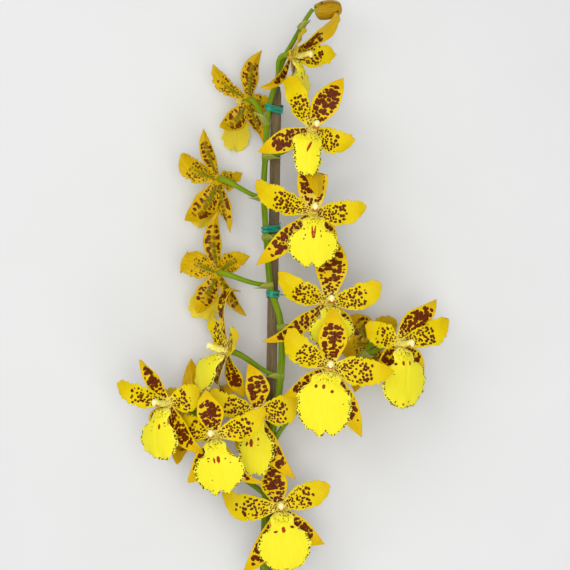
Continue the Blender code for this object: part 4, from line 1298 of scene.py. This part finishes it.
def bract_look():
    """Olive bracts that dry to straw along the margin."""
    look = Look("olive_sheath", 0.5, Specular_IOR_Level=0.3)
    _, along, _ = look.vector("place").split()
    streaks = look.vector("flat").stretch(2.6, 0.12, 1.0).noise(1.0, 4.0)
    colour = streaks.ease(0.35, 0.7).mix((126, 136, 34), (164, 166, 66))
    colour = (look.value("edge") - along * 1.1).ease(0.6, -0.5).mix(colour, (190, 172, 104))
    return look.finish(colour, streaks.ease(0.3, 0.7, 0.42, 0.6), streaks, 0.4)


def bud_look():
    """Golden ochre, greener towards the stem, with brown patches and painted shade darkening its furrows."""
    look = Look("golden_bud", 0.42, **SOFT_TISSUE)
    flat = look.vector("flat")
    seam, along, _ = look.vector("place").split()
    veins = flat.stretch(1.6, 0.12, 1.0).noise()
    colour = veins.ease(0.35, 0.7).mix((188, 144, 10), (156, 116, 8))
    colour = along.ease(0.3, 0.0, 0.0, 0.8).mix(colour, (160, 152, 46))
    # Painted shade: the furrows between the sepals darkened to brown
    colour = (seam * 0.75).mix(colour, (112, 78, 16))
    marked = (look.value("mark") + flat.noise(0.9, 2.0) * 1.2 - 0.6).ease(0.2, -0.2)
    colour = (marked * 0.9).mix(colour, (88, 44, 14))
    return look.finish(colour, veins.ease(0.3, 0.7, 0.36, 0.5), veins, 0.4)


def wood_look():
    """Grey-brown weathered softwood, its grain running along the stake."""
    look = Look("weathered_wood", 0.8, Specular_IOR_Level=0.25)
    flat = look.vector("flat")
    wander = flat.stretch(0.12, 0.012, 1.0).noise(1.0, 2.0)
    drift = look.node("CombineXYZ", {0: wander * 6.0})[0]
    bent = look.node("VectorMath", {0: flat, 1: drift}, operation="ADD")[0]
    grain = bent.stretch(1.5, 0.02, 1.0).noise(1.0, 5.0, 0.7)
    fine = flat.stretch(6.0, 0.09, 1.0).noise(1.0, 3.0, 0.6)
    colour = grain.ease(0.3, 0.7).mix((78, 64, 42), (148, 126, 90))
    colour = fine.ease(0.45, 0.75, 0.0, 0.6).mix(colour, (96, 80, 58))
    colour = wander.ease(0.5, 0.7, 0.0, 0.4).mix(colour, (112, 108, 92))
    colour = flat.stretch(0.2, 0.03, 1.0).noise().ease(0.55, 0.75, 0.0, 0.6).mix(colour, (58, 48, 34))
    return look.finish(colour, grain.ease(0.3, 0.7, 0.72, 0.88), grain + fine * 0.5, 0.7, 0.0006)


def tie_look():
    """Glossy teal plastic, streaked lengthwise where it was stretched."""
    look = Look("teal_plastic", 0.25)
    streaks = look.vector("flat").stretch(2.4, 0.2, 1.0).noise()
    colour = streaks.ease(0.3, 0.7).mix((4, 126, 102), (24, 166, 136))
    return look.finish(colour, streaks.ease(0.3, 0.7, 0.2, 0.34), streaks, 0.4)


def floor_look():
    look = Look("pale_floor", 0.85, Specular_IOR_Level=0.2)
    cloud = look.node("TexCoord", {})[3].noise(9.0, 2.0)
    return look.finish(cloud.mix((226, 225, 222), (220, 219, 216)))


# The stage


def add_floor(look):
    bpy.ops.mesh.primitive_plane_add(size=6)
    floor = bpy.context.object
    floor.name = "pale_floor"
    floor.data.materials.append(look)


def add_light(name, at, size, energy, aim):
    """A square soft light at a place, aimed at another."""
    data = bpy.data.lights.new(name, "AREA")
    data.size = size
    data.energy = energy
    light = bpy.data.objects.new(name, data)
    bpy.context.scene.collection.objects.link(light)
    light.location = at
    light.rotation_euler = (aim - at).to_track_quat("-Z", "Y").to_euler()


def add_camera():
    """A camera straight above, framed as the photograph is, with the bud at the top edge."""
    data = bpy.data.cameras.new("camera")
    data.sensor_width = 36
    data.lens = CAMERA_LENS
    data.dof.use_dof = False
    camera = bpy.data.objects.new("camera", data)
    bpy.context.scene.collection.objects.link(camera)
    camera.location = Vector(np.array(CAMERA_PLACE) * MM + MOVE)
    bpy.context.scene.camera = camera


def main():
    looks = {
        "sepal": tepal_look("golden_sepal", (227, 192, 2), (216, 174, 2), (213, 171, 3), 0.72, 0.42, 0.18),
        "petal": tepal_look("yellow_petal", (224, 199, 2), (214, 181, 2), (213, 175, 4), 0.60, 0.33, 0.07),
        "lip": lip_look(),
        "column": column_look(),
        "stem": stem_look(),
        "bract": bract_look(),
    }
    for bloom in BLOOMS:
        add_bloom(bloom, looks)
    add_stem(looks)
    add_bud(bud_look())
    add_stake(wood_look())
    for number, (y, (rings, tail)) in enumerate(zip(TIE_PLACES, TIE_STRANDS), start=1):
        add_tie(number, y, rings, tail, tie_look())
    add_floor(floor_look())
    middle = Vector(MOVE)
    for name, (offset, size, energy) in LIGHTS.items():
        add_light(name, middle + Vector(offset), size, energy, middle)
    world = bpy.data.worlds.new("pale")
    bpy.context.scene.world = world
    world.use_nodes = True
    sky = world.node_tree.nodes["Background"].inputs
    sky["Color"].default_value = (0.9, 0.94, 1.0, 1)
    sky["Strength"].default_value = 0.5
    add_camera()
    bpy.context.scene.view_settings.view_transform = "Standard"


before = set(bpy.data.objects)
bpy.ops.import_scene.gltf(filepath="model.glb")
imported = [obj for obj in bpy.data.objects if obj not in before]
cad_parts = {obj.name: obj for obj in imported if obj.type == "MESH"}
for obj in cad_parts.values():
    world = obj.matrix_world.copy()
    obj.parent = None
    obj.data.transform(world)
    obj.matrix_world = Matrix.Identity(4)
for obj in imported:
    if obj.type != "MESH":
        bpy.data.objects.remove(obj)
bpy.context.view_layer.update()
low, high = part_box("stake")
MOVE = np.array((low + high) / 2) - (np.array(STAKE_TOP) + np.array(STAKE_FOOT)) / 2 * MM
main()
